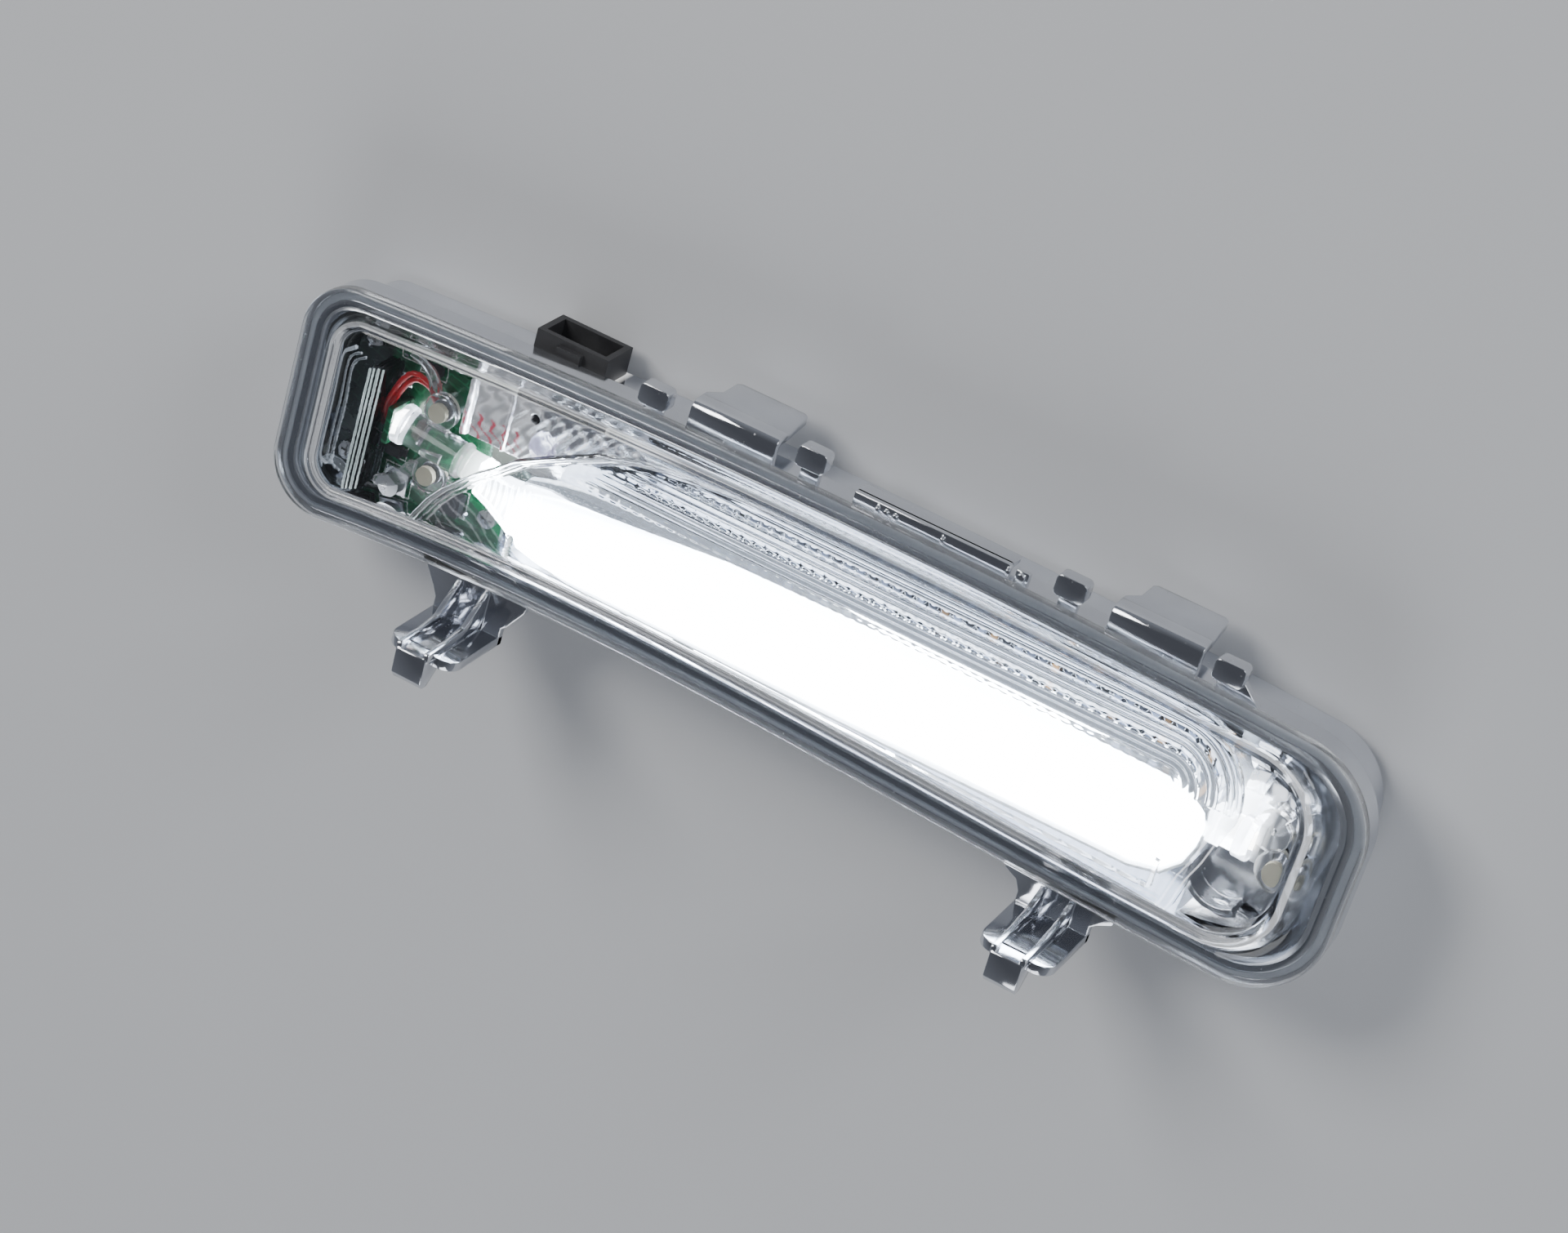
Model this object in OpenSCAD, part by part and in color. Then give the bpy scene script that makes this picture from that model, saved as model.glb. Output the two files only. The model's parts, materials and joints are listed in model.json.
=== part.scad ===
// Daytime running light, lying on its back with the lens up.
// x runs along the lamp, y across it towards the tongues, z out of the lens.

/* [Rim and lens] */
// Length of the sealing rim
rim_l = 260; // [240:1:300]
// Width of the rim across the lamp
rim_w = 60; // [60:1:72]
// Thickness of the lens rim
rim_t = 3; // [2.6:0.1:4]
// Height of the lens crown over the rim
crown_h = 4; // [3.4:0.1:6]
// Thickness of the clear pane
pane_t = 2; // [1.6:0.1:2.4]

/* [Housing] */
// Depth of the housing floor below the rim plane
body_d = 24; // [23:0.5:34]
// Wall of the housing
wall = 2; // [1.6:0.1:2.2]
// Height of the ribs on the back
rib_h = 1.5; // [1.3:0.1:3]
// Depth of the skirt under the rim flange
skirt_d = 4; // [2:0.5:6]

/* [Hooks and tongues] */
// Height of the hook tips over the rim plane
hook_h = 21; // [18:0.5:26]
// Width of the hook plates
hook_w = 17.4; // [15:0.2:20]
// Reach of the hook plates from the rim
hook_out = 9; // [8:0.5:12]
// Width of the tongues
tongue_w = 21; // [16:0.5:24]
// Drop of the tongues below the rim plane
tongue_drop = 20; // [12:0.5:22]
// Reach of the tongues from the rim
tongue_out = 6.5; // [5:0.5:9]
// Width of the small tab heads
tab_w = 7; // [6:0.2:8]

/* [Light parts] */
// Radius of the round ends of the light guide
rod_r = 4; // [3.4:0.1:4.2]
// Width of the light blade
blade_w = 22; // [18:0.5:22.4]
// Pitch of the prism teeth
tooth_pitch = 2.6; // [2.2:0.1:4]
// Number of flutes on the inner lens
flutes = 9; // [6:1:9]
// Thickness of the circuit boards
board_t = 1.6; // [1.2:0.1:1.8]

/* [Hidden] */
hl = rim_l / 2;
yt = rim_w / 2 - 2;
yb = -rim_w / 2 - 2.5;
land = 4.2;
pocket = land + wall;
z_floor = -body_d;
z_in = z_floor + wall;
z_flange = -rim_t;
barb = 5;
hook_t = 2.4;
shift_y = 3.2;
shift_z = body_d + rib_h;
board_z = -15;
board_top = board_z + board_t;
axis_z = -8;
axis_y = -2.4;
tray_y = -6.7;
tray_hw = blade_w / 2 + 1.7;
tray_z = board_z + 1.8;
tray_top = -3.6;

// Place along x measured from the left or the right end of the rim
function xl(x) = x + 130 - hl;
function xr(x) = x - 130 + hl;

function arc(c, r, a0, a1, n) =
  [for (i = [0 : n]) let (a = a0 + (a1 - a0) * i / n) [c[0] + r * cos(a), c[1] + r * sin(a)]];

function bow(p, q, s, n) =
  [for (i = [1 : n - 1]) let (t = i / n)
    [p[0] + (q[0] - p[0]) * t, p[1] + (q[1] - p[1]) * t + 4 * s * t * (1 - t)]];

// Outline of the lamp moved in by d all round, and by e more at each side
function ring(d, e = [0, 0, 0, 0]) =
  let (tl = [-hl + 13 + e[0], yt - 15 - e[1]])
  let (tr = [hl - 20 - e[2], yt - 20 - e[1]])
  let (br = [hl - 27 - e[2], yb + 22 + e[3]])
  let (bl = [-hl + 13 + e[0], yb + 13 + e[3]])
  concat(
    arc(tl, 13 - d, 180, 90, 7),
    bow([tl[0], tl[1] + 13 - d], [tr[0], tr[1] + 20 - d], 3.5, 14),
    arc(tr, 20 - d, 90, -15, 9),
    arc(br, 22 - d, -15, -90, 8),
    bow([br[0], br[1] - 22 + d], [bl[0], bl[1] - 13 + d], 5.5, 14),
    arc(bl, 13 - d, -90, -180, 7));

function lift(pts, z) = [for (p = pts) [p[0], p[1], z]];

module slab(d, z0, z1, e = [0, 0, 0, 0]) {
  translate([0, 0, z0]) linear_extrude(z1 - z0) polygon(ring(d, e));
}

module place() {
  translate([0, shift_y, shift_z]) children();
}

module box(x0, x1, y0, y1, z0, z1) {
  translate([x0, y0, z0]) cube([x1 - x0, y1 - y0, z1 - z0]);
}

module rod(x, y, z0, z1, r, fn = 32) {
  translate([x, y, z0]) cylinder(h = z1 - z0, r = r, $fn = fn);
}

// Plate standing in the y-z plane, cut from a list of y-z points
module yz_plate(x0, x1, pts) {
  translate([x0, 0, 0]) rotate([90, 0, 90]) linear_extrude(x1 - x0) polygon(pts);
}

module outer_lens() {
  k = crown_h / 4;
  outer = [
    [0, 0, z_flange], [0, 0, -0.8], [0.3, 0, -0.25], [0.8, 0, 0], [3.2, 0, 0], [3.7, 0.8, 0.35 * k],
    [4.1, 3.2, 1.2 * k], [4.6, 5.6, 2.4 * k], [5.3, 7.4, 3.4 * k], [6.4, 8.2, 3.9 * k],
    [8, 8.6, 4 * k], [12, 8.6, 4 * k + 0.3]];
  inner = [
    [land + 0.4, 0, z_flange], [land + 0.8, 0, 0.2 - pane_t / 4], [5.9, 4.4, 1.2 * k - pane_t / 4],
    [7, 7.2, 3.4 * k - pane_t], [8.6, 8.6, 4 * k - pane_t], [12, 8.6, 4 * k + 0.3 - pane_t]];
  n = len(ring(0));
  a = len(outer);
  b = len(inner);
  pts = concat(
    [for (r = outer) for (p = ring(r[0], [0, 0, r[1], 0])) [p[0], p[1], r[2]]],
    [for (r = inner) for (p = ring(r[0], [0, 0, r[1], 0])) [p[0], p[1], r[2]]]);
  side = [for (j = [0 : a - 2]) for (i = [0 : n - 1]) let (m = (i + 1) % n)
    each [[j * n + i, j * n + m, j * n + n + i], [j * n + m, j * n + n + m, j * n + n + i]]];
  hollow = [for (j = [a : a + b - 2]) for (i = [0 : n - 1]) let (m = (i + 1) % n)
    each [[j * n + i, j * n + n + i, j * n + m], [j * n + m, j * n + n + i, j * n + n + m]]];
  foot = [for (i = [0 : n - 1]) let (m = (i + 1) % n)
    each [[i, a * n + i, m], [m, a * n + i, a * n + m]]];
  top = [[for (i = [0 : n - 1]) (a - 1) * n + i]];
  ceiling = [[for (i = [n - 1 : -1 : 0]) (a + b - 1) * n + i]];
  color([0.85, 0.9, 0.95, 0.35]) place()
    polyhedron(points = pts, faces = concat(side, hollow, foot, top, ceiling), convexity = 6);
}

module seal_bead() {
  color([0.25, 0.25, 0.27]) place() difference() {
    slab(1.5, z_flange - 1, z_flange);
    slab(3, z_flange - 2, z_flange + 1);
  }
}

// Snap hook: flared foot, standing plate, two ribs and a barbed tip
module hook(x, ye) {
  yl = ye - hook_out;
  hw = hook_w / 2;
  z0 = z_flange - 2;
  zp = hook_h - 5;
  translate([x, 0, z0]) linear_extrude(2) polygon([
    [-hw - 4.4, ye + 3], [-hw - 4, ye], [-hw - 0.8, yl + 3.6], [-hw, yl + 1.4], [-hw, yl - hook_t],
    [hw, yl - hook_t], [hw, yl + 1.4], [hw + 0.8, yl + 3.6], [hw + 4, ye], [hw + 4.4, ye + 3]]);
  translate([x, yl, 0]) rotate([90, 0, 0]) linear_extrude(hook_t) polygon(concat(
    [[-hw, z0], [hw, z0]], arc([hw - 4, zp - 4], 4, 0, 90, 6), arc([4 - hw, zp - 4], 4, 90, 180, 6)));
  for (s = [-4.1, 2.8]) yz_plate(x + s, x + s + 1.3, [
    [ye - 2.2, z0 + 1.6], [ye - 2.2, z0 + 3], [yl + 1.9, 6.4], [yl + 1.1, 12], [yl + 1.1, hook_h - 0.5],
    [yl - 0.4, hook_h - 0.5], [yl - 0.4, z0 + 1.6]]);
  yz_plate(x - 2.81, x + 2.81, [
    [yl + 0.8, hook_h - 7], [yl + 0.8, hook_h - 0.4], [yl + 0.2, hook_h], [yl - 4.4, hook_h - 0.2],
    [yl - hook_t - barb, hook_h - 4.6], [yl - hook_t - barb, hook_h - 6.2], [yl - hook_t + 0.2, hook_h - 8.6],
    [yl - hook_t + 0.2, hook_h - 9]]);
}

// Bent tongue: short shelf, round bend and a long plate going down
module tongue(x, ye) {
  yo = ye + tongue_out;
  hw = tongue_w / 2;
  zt = z_flange;
  yz_plate(x - hw, x + hw, concat(
    [[ye - 3, zt - 2], [ye - 3, zt]],
    arc([yo - 2.4, zt - 2.4], 2.4, 90, 0, 6),
    [[yo, zt - 5], [yo - 2, zt - 5]],
    arc([yo - 2.6, zt - 2.6], 0.6, 0, 90, 3)));
  translate([x, yo, 0]) rotate([90, 0, 0]) linear_extrude(2) polygon([
    [-hw, zt - 4.8], [-hw, zt - 6.5], [-hw + 2.4, zt - 9.5], [-hw + 2.4, -tongue_drop + 1],
    [-hw + 3.4, -tongue_drop], [hw - 2, -tongue_drop], [hw - 1, -tongue_drop + 1], [hw, zt - 4.8]]);
}

// Small tab with a round-cornered head
module tab(x, ye, out) {
  h = tab_w / 2;
  box(x - 2.2, x + 2.2, ye - 3, ye + out - 3, z_flange - 2, z_flange);
  translate([x, ye + out - 2, z_flange - 2.6]) linear_extrude(4) polygon(concat(
    arc([h - 1.2, 1.2], 1.2, 90, 0, 4), arc([h - 1.2, -1.3], 1.2, 0, -90, 4),
    arc([1.2 - h, -1.3], 1.2, -90, -180, 4), arc([1.2 - h, 1.2], 1.2, 180, 90, 4)));
}

// Height of the outline at x on the top and on the bottom edge
function edge_top(x) =
  let (t = (x + hl - 13) / (2 * hl - 33))
  yt - 2 + 2 * t + 14 * t * (1 - t);
function edge_bot(x) =
  let (t = (hl - 27 - x) / (2 * hl - 40))
  yb + 22 * t * (1 - t);

hook_x = [xl(-75), xr(72.8)];
tongue_x = [xl(-27), xr(73.8)];
tab_x = [xl(-45.8), xl(-7.8), xr(54), xr(91)];
tab_out = [6, 8, 7.4, 7];
boss_xy = [[xl(-117.6), -17], [xl(-80), -16.6], [xl(-66), 13], [xl(-117), 12.4]];
stud_xy = [[xl(-95.3), 4.6], [xl(-94.6), -10.8]];
stud_r = [xr(113.3), -6.5];
tray_x0 = xl(-63);
tray_x1 = xr(91);
post_xy = [[tray_x0 + 12, tray_y], [(tray_x0 + tray_x1) / 2, tray_y], [tray_x1 - 8, tray_y]];
plug_x = xl(-71);
plug_w = 18;
plug_z0 = -22.6;
plug_z1 = -11.6;
right_z = -14.6;
led_r = xr(106.9);

module housing() {
  color([0.72, 0.74, 0.78]) place() difference() {
    union() {
      difference() {
        union() {
          slab(0.25, z_flange - 2.2, z_flange);
          slab(0.25, z_flange - 2.2 - skirt_d, z_flange - 2);
          slab(land, z_floor, z_flange - 2);
        }
        difference() {
          slab(2, z_flange - 3 - skirt_d, z_flange - 2.2);
          slab(land, z_floor - 1, z_flange);
        }
        slab(pocket, z_in, z_flange + 1);
      }
      for (x = hook_x) hook(x, edge_bot(x) + 0.6);
      for (x = tongue_x) tongue(x, edge_top(x) - 0.6);
      for (i = [0 : 3]) tab(tab_x[i], edge_top(tab_x[i]) - 0.6, tab_out[i]);
      // rail with its fins and pin
      rx = xl(21.5);
      ry = edge_top(rx) - 0.6;
      box(rx - 18.5, rx + 18.5, ry - 3.4, ry + 3.4, z_flange - 2, z_flange);
      box(rx - 18.5, rx + 18.5, ry + 1.8, ry + 3.4, z_flange - 6, z_flange - 1);
      for (s = [-13, 2.5, 18]) yz_plate(rx + s, rx + s + 0.9, [[ry + 1.1, z_flange - 1],
        [ry + 1.1, z_flange + 0.8], [ry + 2.4, z_flange + 0.8], [ry + 3.4, z_flange - 1]]);
      for (s = [-10.6, -8.4]) rod(rx + s, ry + 1.9, z_flange - 1, z_flange + 0.7, 0.7, 20);
      box(rx + 20, rx + 23, ry - 3.4, ry + 3.2, z_flange - 2, z_flange);
      rod(rx + 21.5, ry + 1.9, z_flange - 1, z_flange + 0.9, 1, 24);
      // gusset beside the last tab
      gx = tab_x[3];
      gy = edge_top(gx) - 0.6;
      translate([gx, gy, z_flange - 2]) linear_extrude(2) polygon([[2, -3], [2, 4.6], [3.4, 4], [8.2, -0.4], [8.2, -3]]);
      // ribs on the back
      for (y = [-13, 11]) box(xl(-104), xr(104), y - 0.9, y + 0.9, z_floor - rib_h, z_floor + 0.5);
      for (x = [xl(-104), xl(-56), xr(0), xr(56), xr(102.2)]) box(x, x + 1.8, -13, 11, z_floor - rib_h, z_floor + 0.5);
      // bosses and pillars inside
      for (p = boss_xy) rod(p[0], p[1], z_in - 0.5, board_z, 2.7);
      for (p = stud_xy) rod(p[0], p[1], z_in - 0.5, -9.2, 2.7);
      rod(stud_r[0], stud_r[1], z_in - 0.5, -9.2, 2.7);
      for (p = post_xy) rod(p[0], p[1], z_in - 0.5, tray_z, 3.2);
      for (p = [[xr(100), 10], [xr(117), 3], [xr(101), -19]]) rod(p[0], p[1], z_in - 0.5, right_z, 2.7);
    }
    // groove for the seal
    difference() {
      slab(1.5, z_flange - 1, z_flange + 0.5);
      slab(3, z_flange - 2, z_flange + 1);
    }
    for (p = boss_xy) rod(p[0], p[1], board_z - 6, board_z + 1, 1.2, 24);
    // way through the wall for the connector
    box(plug_x - plug_w / 2 - 0.2, plug_x + plug_w / 2 + 0.2, 14, 40, plug_z0 - 0.2, plug_z1 + 0.2);
    // breathing hole under the vent
    rod(xl(-30), -1, z_floor - 1, z_in + 1, 1.5, 24);
  }
}

// Outline of the inner lens with its swept left edge
swoosh = concat(
  [[xl(-95), -21.6], [xl(-93.4), -17.4], [xl(-90), -12.6], [xl(-85.2), -8], [xl(-79), -3.2], [xl(-73), 0.8],
   [xl(-66.5), 5.4], [xl(-60.8), 9.4], [xl(-55), 12.8], [xl(-48), 15.8], [xl(-38), 18.4], [xl(-24), 20.6],
   [xl(-8), 21.8], [xr(20), 22.3], [xr(50), 22.2], [xr(72), 22]],
  arc([xr(84.5), 4.6], 17.2, 90, -4, 10),
  [[xr(99.8), -4.4], [xr(95.4), -21.4], [xr(94), -23]],
  bow([xr(94), -23], [xl(-94), -22.6], 3, 12),
  [[xl(-94), -22.6]]);

module inner_lens() {
  z0 = tray_top;
  z1 = tray_top + 2;
  color([0.9, 0.95, 1, 0.4]) place() {
    translate([0, 0, z0]) linear_extrude(z1 - z0) polygon(swoosh);
    // raised lip along the swept edge
    translate([0, 0, z1 - 0.2]) linear_extrude(1.2) polygon(concat(
      [for (i = [1 : 10]) swoosh[i] + [0.4, -0.3]],
      [for (i = [10 : -1 : 1]) swoosh[i] + [1.7 - 0.12 * i, -0.7 - 0.09 * i]]));
    // flutes along the upper side, turning down at the right
    for (i = [0 : flutes - 1]) {
      r = 4 + 1.45 * i;
      x0 = xl(-58 + 2.2 * i + 0.4 * i * i);
      for (k = [[0.52, 0.34, 8], [0.28, 0.6, 11]]) translate([0, 0, z1 - 0.1]) linear_extrude(k[1] + 0.1)
        polygon(concat([[x0 + 0.6 - k[0], 4.6 + r + k[0]]], arc([xr(84.5), 4.6], r + k[0], 90, k[2], 10),
          arc([xr(84.5), 4.6], r - k[0], k[2], 90, 10), [[x0 + 0.6 - k[0], 4.6 + r - k[0]]]));
    }
    // lower channel line with its square corner
    box(xl(-66), xr(90), -19.2, -18.2, z1 - 0.2, z1 + 0.9);
    box(xl(-67), xl(-66), -19.2, -13.4, z1 - 0.2, z1 + 0.9);
  }
}

// Teeth on the back of the blade, as x-z points from left to right
function teeth(x0, x1, z, h) =
  let (n = floor((x1 - x0) / tooth_pitch))
  let (p = (x1 - x0) / n)
  [for (i = [0 : n - 1]) each [[x0 + i * p, z], [x0 + (i + 0.55) * p, z + h]]];

module light_guide() {
  b0 = tray_x0 + 3;
  b1 = tray_x1 - 3;
  hw = blade_w / 2;
  zb = axis_z + 2.6;
  za = axis_z - 2.4;
  color([0.95, 0.97, 1, 0.6]) place() {
    // round ends
    translate([xl(-107), axis_y, axis_z]) rotate([0, 90, 0]) cylinder(h = 27, r = rod_r, $fn = 48);
    translate([led_r - 1.3, axis_y, axis_z]) rotate([0, -90, 0]) cylinder(h = 11.6, r = rod_r, $fn = 48);
    // fan-shaped ends of the blade
    translate([0, 0, za]) linear_extrude(zb - za) polygon([
      [xl(-81), axis_y - rod_r + 0.4], [xl(-81), axis_y + rod_r - 0.4], [b0 - 6, tray_y + hw - 1.4],
      [b0, tray_y + hw], [b1, tray_y + hw], [xr(95), axis_y + rod_r - 0.4], [xr(95), axis_y - rod_r + 0.4],
      [b1, tray_y - hw], [b0, tray_y - hw], [b0 - 6, tray_y - hw + 1.4]]);
    // prism teeth
    translate([0, tray_y + hw, 0]) rotate([90, 0, 0]) linear_extrude(blade_w) polygon(concat(
      teeth(b0, b1, za + 0.1, -1.1), [[b1, za + 0.1], [b1, za + 0.6], [b0, za + 0.6]]));
    // ridges over the left fan
    for (i = [0 : 6]) translate([xl(-78.5 + 2.4 * i), tray_y + 2.8 - 0.4 * i, zb - 0.3])
      rotate([90, 0, 0]) cylinder(h = 7.4 + 1.2 * i, r = 0.6, center = true, $fn = 12);
    // ears and their curved arms
    for (p = stud_xy) difference() {
      union() {
        rod(p[0], p[1], -9.2, -7.2, 4.2, 36);
        box(p[0] - 2.4, p[0] + 2.4, min(p[1], axis_y), max(p[1], axis_y), -9, -7.4);
      }
      rod(p[0], p[1], -10, -6, 2);
    }
    difference() {
      union() {
        rod(stud_r[0], stud_r[1], -9.2, -7.2, 4.4, 36);
        box(xr(97), stud_r[0] - 2, -12, -8.6, -9.2, -7.2);
        box(xr(96.8), xr(99.6), -11, axis_y - 2, -9.2, -7.2);
      }
      rod(stud_r[0], stud_r[1], -10, -6, 2.6);
    }
    translate([xl(-108.4), 4.6, -9]) rotate([0, 0, 15]) rotate_extrude(angle = 62, $fn = 48)
      translate([10.2, 0]) square([2.2, 1.8]);
    translate([xl(-101.2), -28.4, -9]) rotate([0, 0, 64]) rotate_extrude(angle = 56, $fn = 48)
      translate([13.6, 0]) square([2.4, 1.8]);
  }
}

module light_tray() {
  w = 1.2;
  color([0.94, 0.95, 0.97]) place() difference() {
    box(tray_x0, tray_x1, tray_y - tray_hw, tray_y + tray_hw, tray_z, tray_top);
    box(tray_x0 - 1, tray_x1 + 1, tray_y - tray_hw + w, tray_y + tray_hw - w, tray_z + w, tray_top + 1);
  }
}

module left_reflector() {
  z0 = -9.8;
  color([0.8, 0.82, 0.85]) place() difference() {
    union() {
      translate([0, 0, z0]) linear_extrude(1.4) polygon(concat(
        [[xl(-90.2), 2.2]], arc([xl(-86.4), 14.8], 3.8, 180, 90, 6),
        [[xl(-58), 18.8], [xl(-50), 18], [xl(-46), 14.4], [xl(-58), 8.4], [xl(-66), 6.6], [xl(-72.4), 2.2]]));
      translate([0, 0, z0 - 2.4]) linear_extrude(4.4) difference() {
        polygon(concat([[xl(-90.2), 2.2]], arc([xl(-86.4), 14.8], 3.8, 180, 90, 6), [[xl(-84), 18.6], [xl(-84), 17.4]],
          arc([xl(-86.4), 14.8], 2.6, 90, 180, 6), [[xl(-89), 2.2]]));
      }
      box(xl(-79.6), xl(-79), 2.2, 18.7, z0 + 1, z0 + 1.8);
      translate([xl(-69.6), 7.6, z0 + 1.2]) cylinder(h = 3.4, r1 = 3.4, r2 = 1.2, $fn = 32);
      for (p = [[xl(-87), 12], [xl(-62), 10.6]]) rod(p[0], p[1], board_top, z0 + 0.4, 1.4, 20);
    }
    rod(xl(-74.6), 11.6, z0 - 1, z0 + 3, 1.1, 24);
  }
}

module right_reflector() {
  color([0.8, 0.82, 0.85]) place() {
    difference() {
      intersection() {
        box(xr(95), hl, -40, 40, right_z, right_z + 1.2);
        slab(pocket + 0.4, right_z - 1, right_z + 3);
      }
      rod(stud_r[0], stud_r[1], right_z - 1, right_z + 3, 3.1);
    }
    // concave wall round the lower corner
    translate([xr(103), -13, right_z + 1]) rotate([0, 0, 185]) rotate_extrude(angle = 120, $fn = 64)
      translate([7.2, 0]) square([1.2, 6.4]);
    // facets in the upper corner
    for (i = [0 : 2]) translate([xr(100.4 + 5.6 * i), 9.4 - 0.8 * i, right_z + 1]) rotate([90, 0, 90])
      linear_extrude(4.6) polygon([[0, 0], [8, 0], [8, 7 - i], [5.4, 6 - i]]);
  }
}

module partition() {
  x = xl(-113);
  color([0.9, 0.95, 1, 0.4]) place() {
    box(x, x + 1.6, -20.6, 15.8, board_top, -2.8);
    box(x - 0.7, x + 2.3, -20.6, 15.8, board_top, board_top + 1.1);
    box(x - 0.7, x + 2.3, -20.6, 15.8, -4, -3.2);
  }
}

module left_frame() {
  x = xl(-119.4);
  color([0.9, 0.95, 1, 0.4]) place() {
    box(x, x + 1.2, -8.6, 7.4, board_top, -5.4);
    box(x, x + 3.2, 6.2, 7.4, board_top, -5.4);
    box(x, x + 3, -8.6, 7.4, board_top, board_top + 1);
    difference() {
      union() {
        rod(boss_xy[0][0], boss_xy[0][1], board_top, board_top + 3.4, 3.7, 32);
        box(x, x + 1.2, -15, -8, board_top, board_top + 3.4);
      }
      rod(boss_xy[0][0], boss_xy[0][1], board_top - 1, board_top + 5, 2.6, 32);
    }
  }
}

module driver_board() {
  color([0.06, 0.38, 0.16]) place() translate([0, 0, board_z]) linear_extrude(board_t) difference() {
    polygon([[xl(-121.4), -18.6], [xl(-118), -22.8], [xl(-96), -22.6], [xl(-82), -21.4], [xl(-62.6), -20.2],
      [xl(-62.6), 16.4], [xl(-117.6), 16.4], [xl(-121.4), 12.6]]);
    for (p = boss_xy) translate(p) circle(r = 1.4, $fn = 24);
    for (p = stud_xy) translate(p) circle(r = 3.2, $fn = 32);
  }
}

module driver_chip() {
  z = board_top;
  color([0.1, 0.1, 0.11]) place() {
    box(xl(-104.2), xl(-99.4), 9.6, 13.2, z + 0.1, z + 1.5);
    for (i = [0 : 3]) for (s = [9.1, 13.1]) box(xl(-104 + 1.27 * i), xl(-103.6 + 1.27 * i), s, s + 0.6, z, z + 0.7);
  }
}

module capacitor() {
  z = board_top;
  color([0.75, 0.76, 0.78]) place() {
    box(xl(-107.4), xl(-101.4), -21.8, -15.8, z, z + 0.9);
    rod(xl(-104.4), -18.8, z + 0.8, z + 4.2, 2.6, 32);
  }
}

module inductor() {
  z = board_top;
  color([0.2, 0.2, 0.21]) place() {
    box(xl(-92), xl(-86.6), -19.4, -14.2, z, z + 2.6);
    rod(xl(-89.3), -16.8, z + 2.4, z + 3.2, 1.9, 32);
  }
}

module diode() {
  z = board_top;
  color([0.09, 0.09, 0.1]) place() {
    box(xl(-108), xl(-104.4), -12.8, -10.4, z + 0.1, z + 2.1);
    for (x = [-109, -104.6]) box(xl(x), xl(x + 1.2), -12.4, -10.8, z, z + 0.9);
  }
}

module resistors() {
  z = board_top;
  color([0.16, 0.14, 0.13]) place() {
    for (p = [[-107.6, 13.4], [-107.6, 10.6], [-102.4, 6.4], [-105, 14.6], [-101.6, -9.4], [-101.6, -6.8], [-98.8, -18.2]])
      box(xl(p[0]), xl(p[0] + 2), p[1], p[1] + 1.2, z, z + 0.6);
  }
}

module led_board(x, y) {
  box(x, x + board_t, y - 5.8, y + 5.4, 0, 10.6);
}

module left_led_board() {
  color([0.08, 0.42, 0.18]) place() translate([0, 0, board_top]) led_board(xl(-108.4) - board_t, axis_y);
}

module left_led() {
  color([1, 0.96, 0.8]) place() {
    box(xl(-108.4), xl(-107.9), axis_y - 2.6, axis_y + 2.6, axis_z - 2.6, axis_z + 2.6);
    box(xl(-108), xl(-107.3), axis_y - 1.8, axis_y + 1.8, axis_z - 1.8, axis_z + 1.8);
  }
}

module collar(x0, x1) {
  difference() {
    translate([x0, axis_y, axis_z]) rotate([0, 90, 0]) cylinder(h = x1 - x0, r = rod_r + 1.15, $fn = 40);
    translate([x0 - 1, axis_y, axis_z]) rotate([0, 90, 0]) cylinder(h = x1 - x0 + 2, r = rod_r + 0.15, $fn = 40);
  }
}

module left_collar() {
  color([0.95, 0.96, 0.98]) place() collar(xl(-108.4), xl(-104.2));
}

module right_led_board() {
  color([0.08, 0.42, 0.18]) place() translate([0, 0, right_z + 1.2]) led_board(led_r, axis_y + 1.8);
}

module right_led() {
  color([1, 0.96, 0.8]) place() {
    box(led_r - 0.5, led_r, axis_y - 2.6, axis_y + 2.6, axis_z - 2.6, axis_z + 2.6);
    box(led_r - 1.1, led_r - 0.4, axis_y - 1.8, axis_y + 1.8, axis_z - 1.8, axis_z + 1.8);
  }
}

module right_collar() {
  color([0.95, 0.96, 0.98]) place() collar(led_r - 4.2, led_r);
}

module stud(x, y, r) {
  rod(x, y, -9.2, -7, r - 0.4, 24);
  rod(x, y, -7.2, -5.8, r, 32);
}

module left_studs() {
  color([0.93, 0.9, 0.78]) place() for (p = stud_xy) stud(p[0], p[1], 2.2);
}

module right_stud() {
  color([0.93, 0.9, 0.78]) place() stud(stud_r[0], stud_r[1], 2.8);
}

module board_screws() {
  z = board_top;
  color([0.7, 0.7, 0.72]) place() for (p = boss_xy) difference() {
    union() {
      rod(p[0], p[1], board_z - 4, z + 0.2, 1, 20);
      rod(p[0], p[1], z, z + 1.5, 2.2, 28);
    }
    for (a = [0, 90]) translate([p[0], p[1], z + 1.2]) rotate([0, 0, a]) cube([2.8, 0.6, 1], center = true);
  }
}

module red_wires() {
  z = board_top;
  zw = z + 2.5;
  cx = xl(-97);
  color([0.8, 0.05, 0.06]) place() for (k = [0, 1]) {
    r = 9.8 + 2.3 * k;
    a1 = 175 - 7 * k;
    translate([cx, 3.4, zw]) rotate([0, 0, 90]) rotate_extrude(angle = a1 - 90, $fn = 72)
      translate([r, 0]) circle(r = 0.75, $fn = 20);
    rod(cx, 3.4 + r, z, zw + 1, 1.05, 24);
    rod(cx + r * cos(a1), 3.4 + r * sin(a1), z, zw + 1, 1.05, 24);
  }
}

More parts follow.
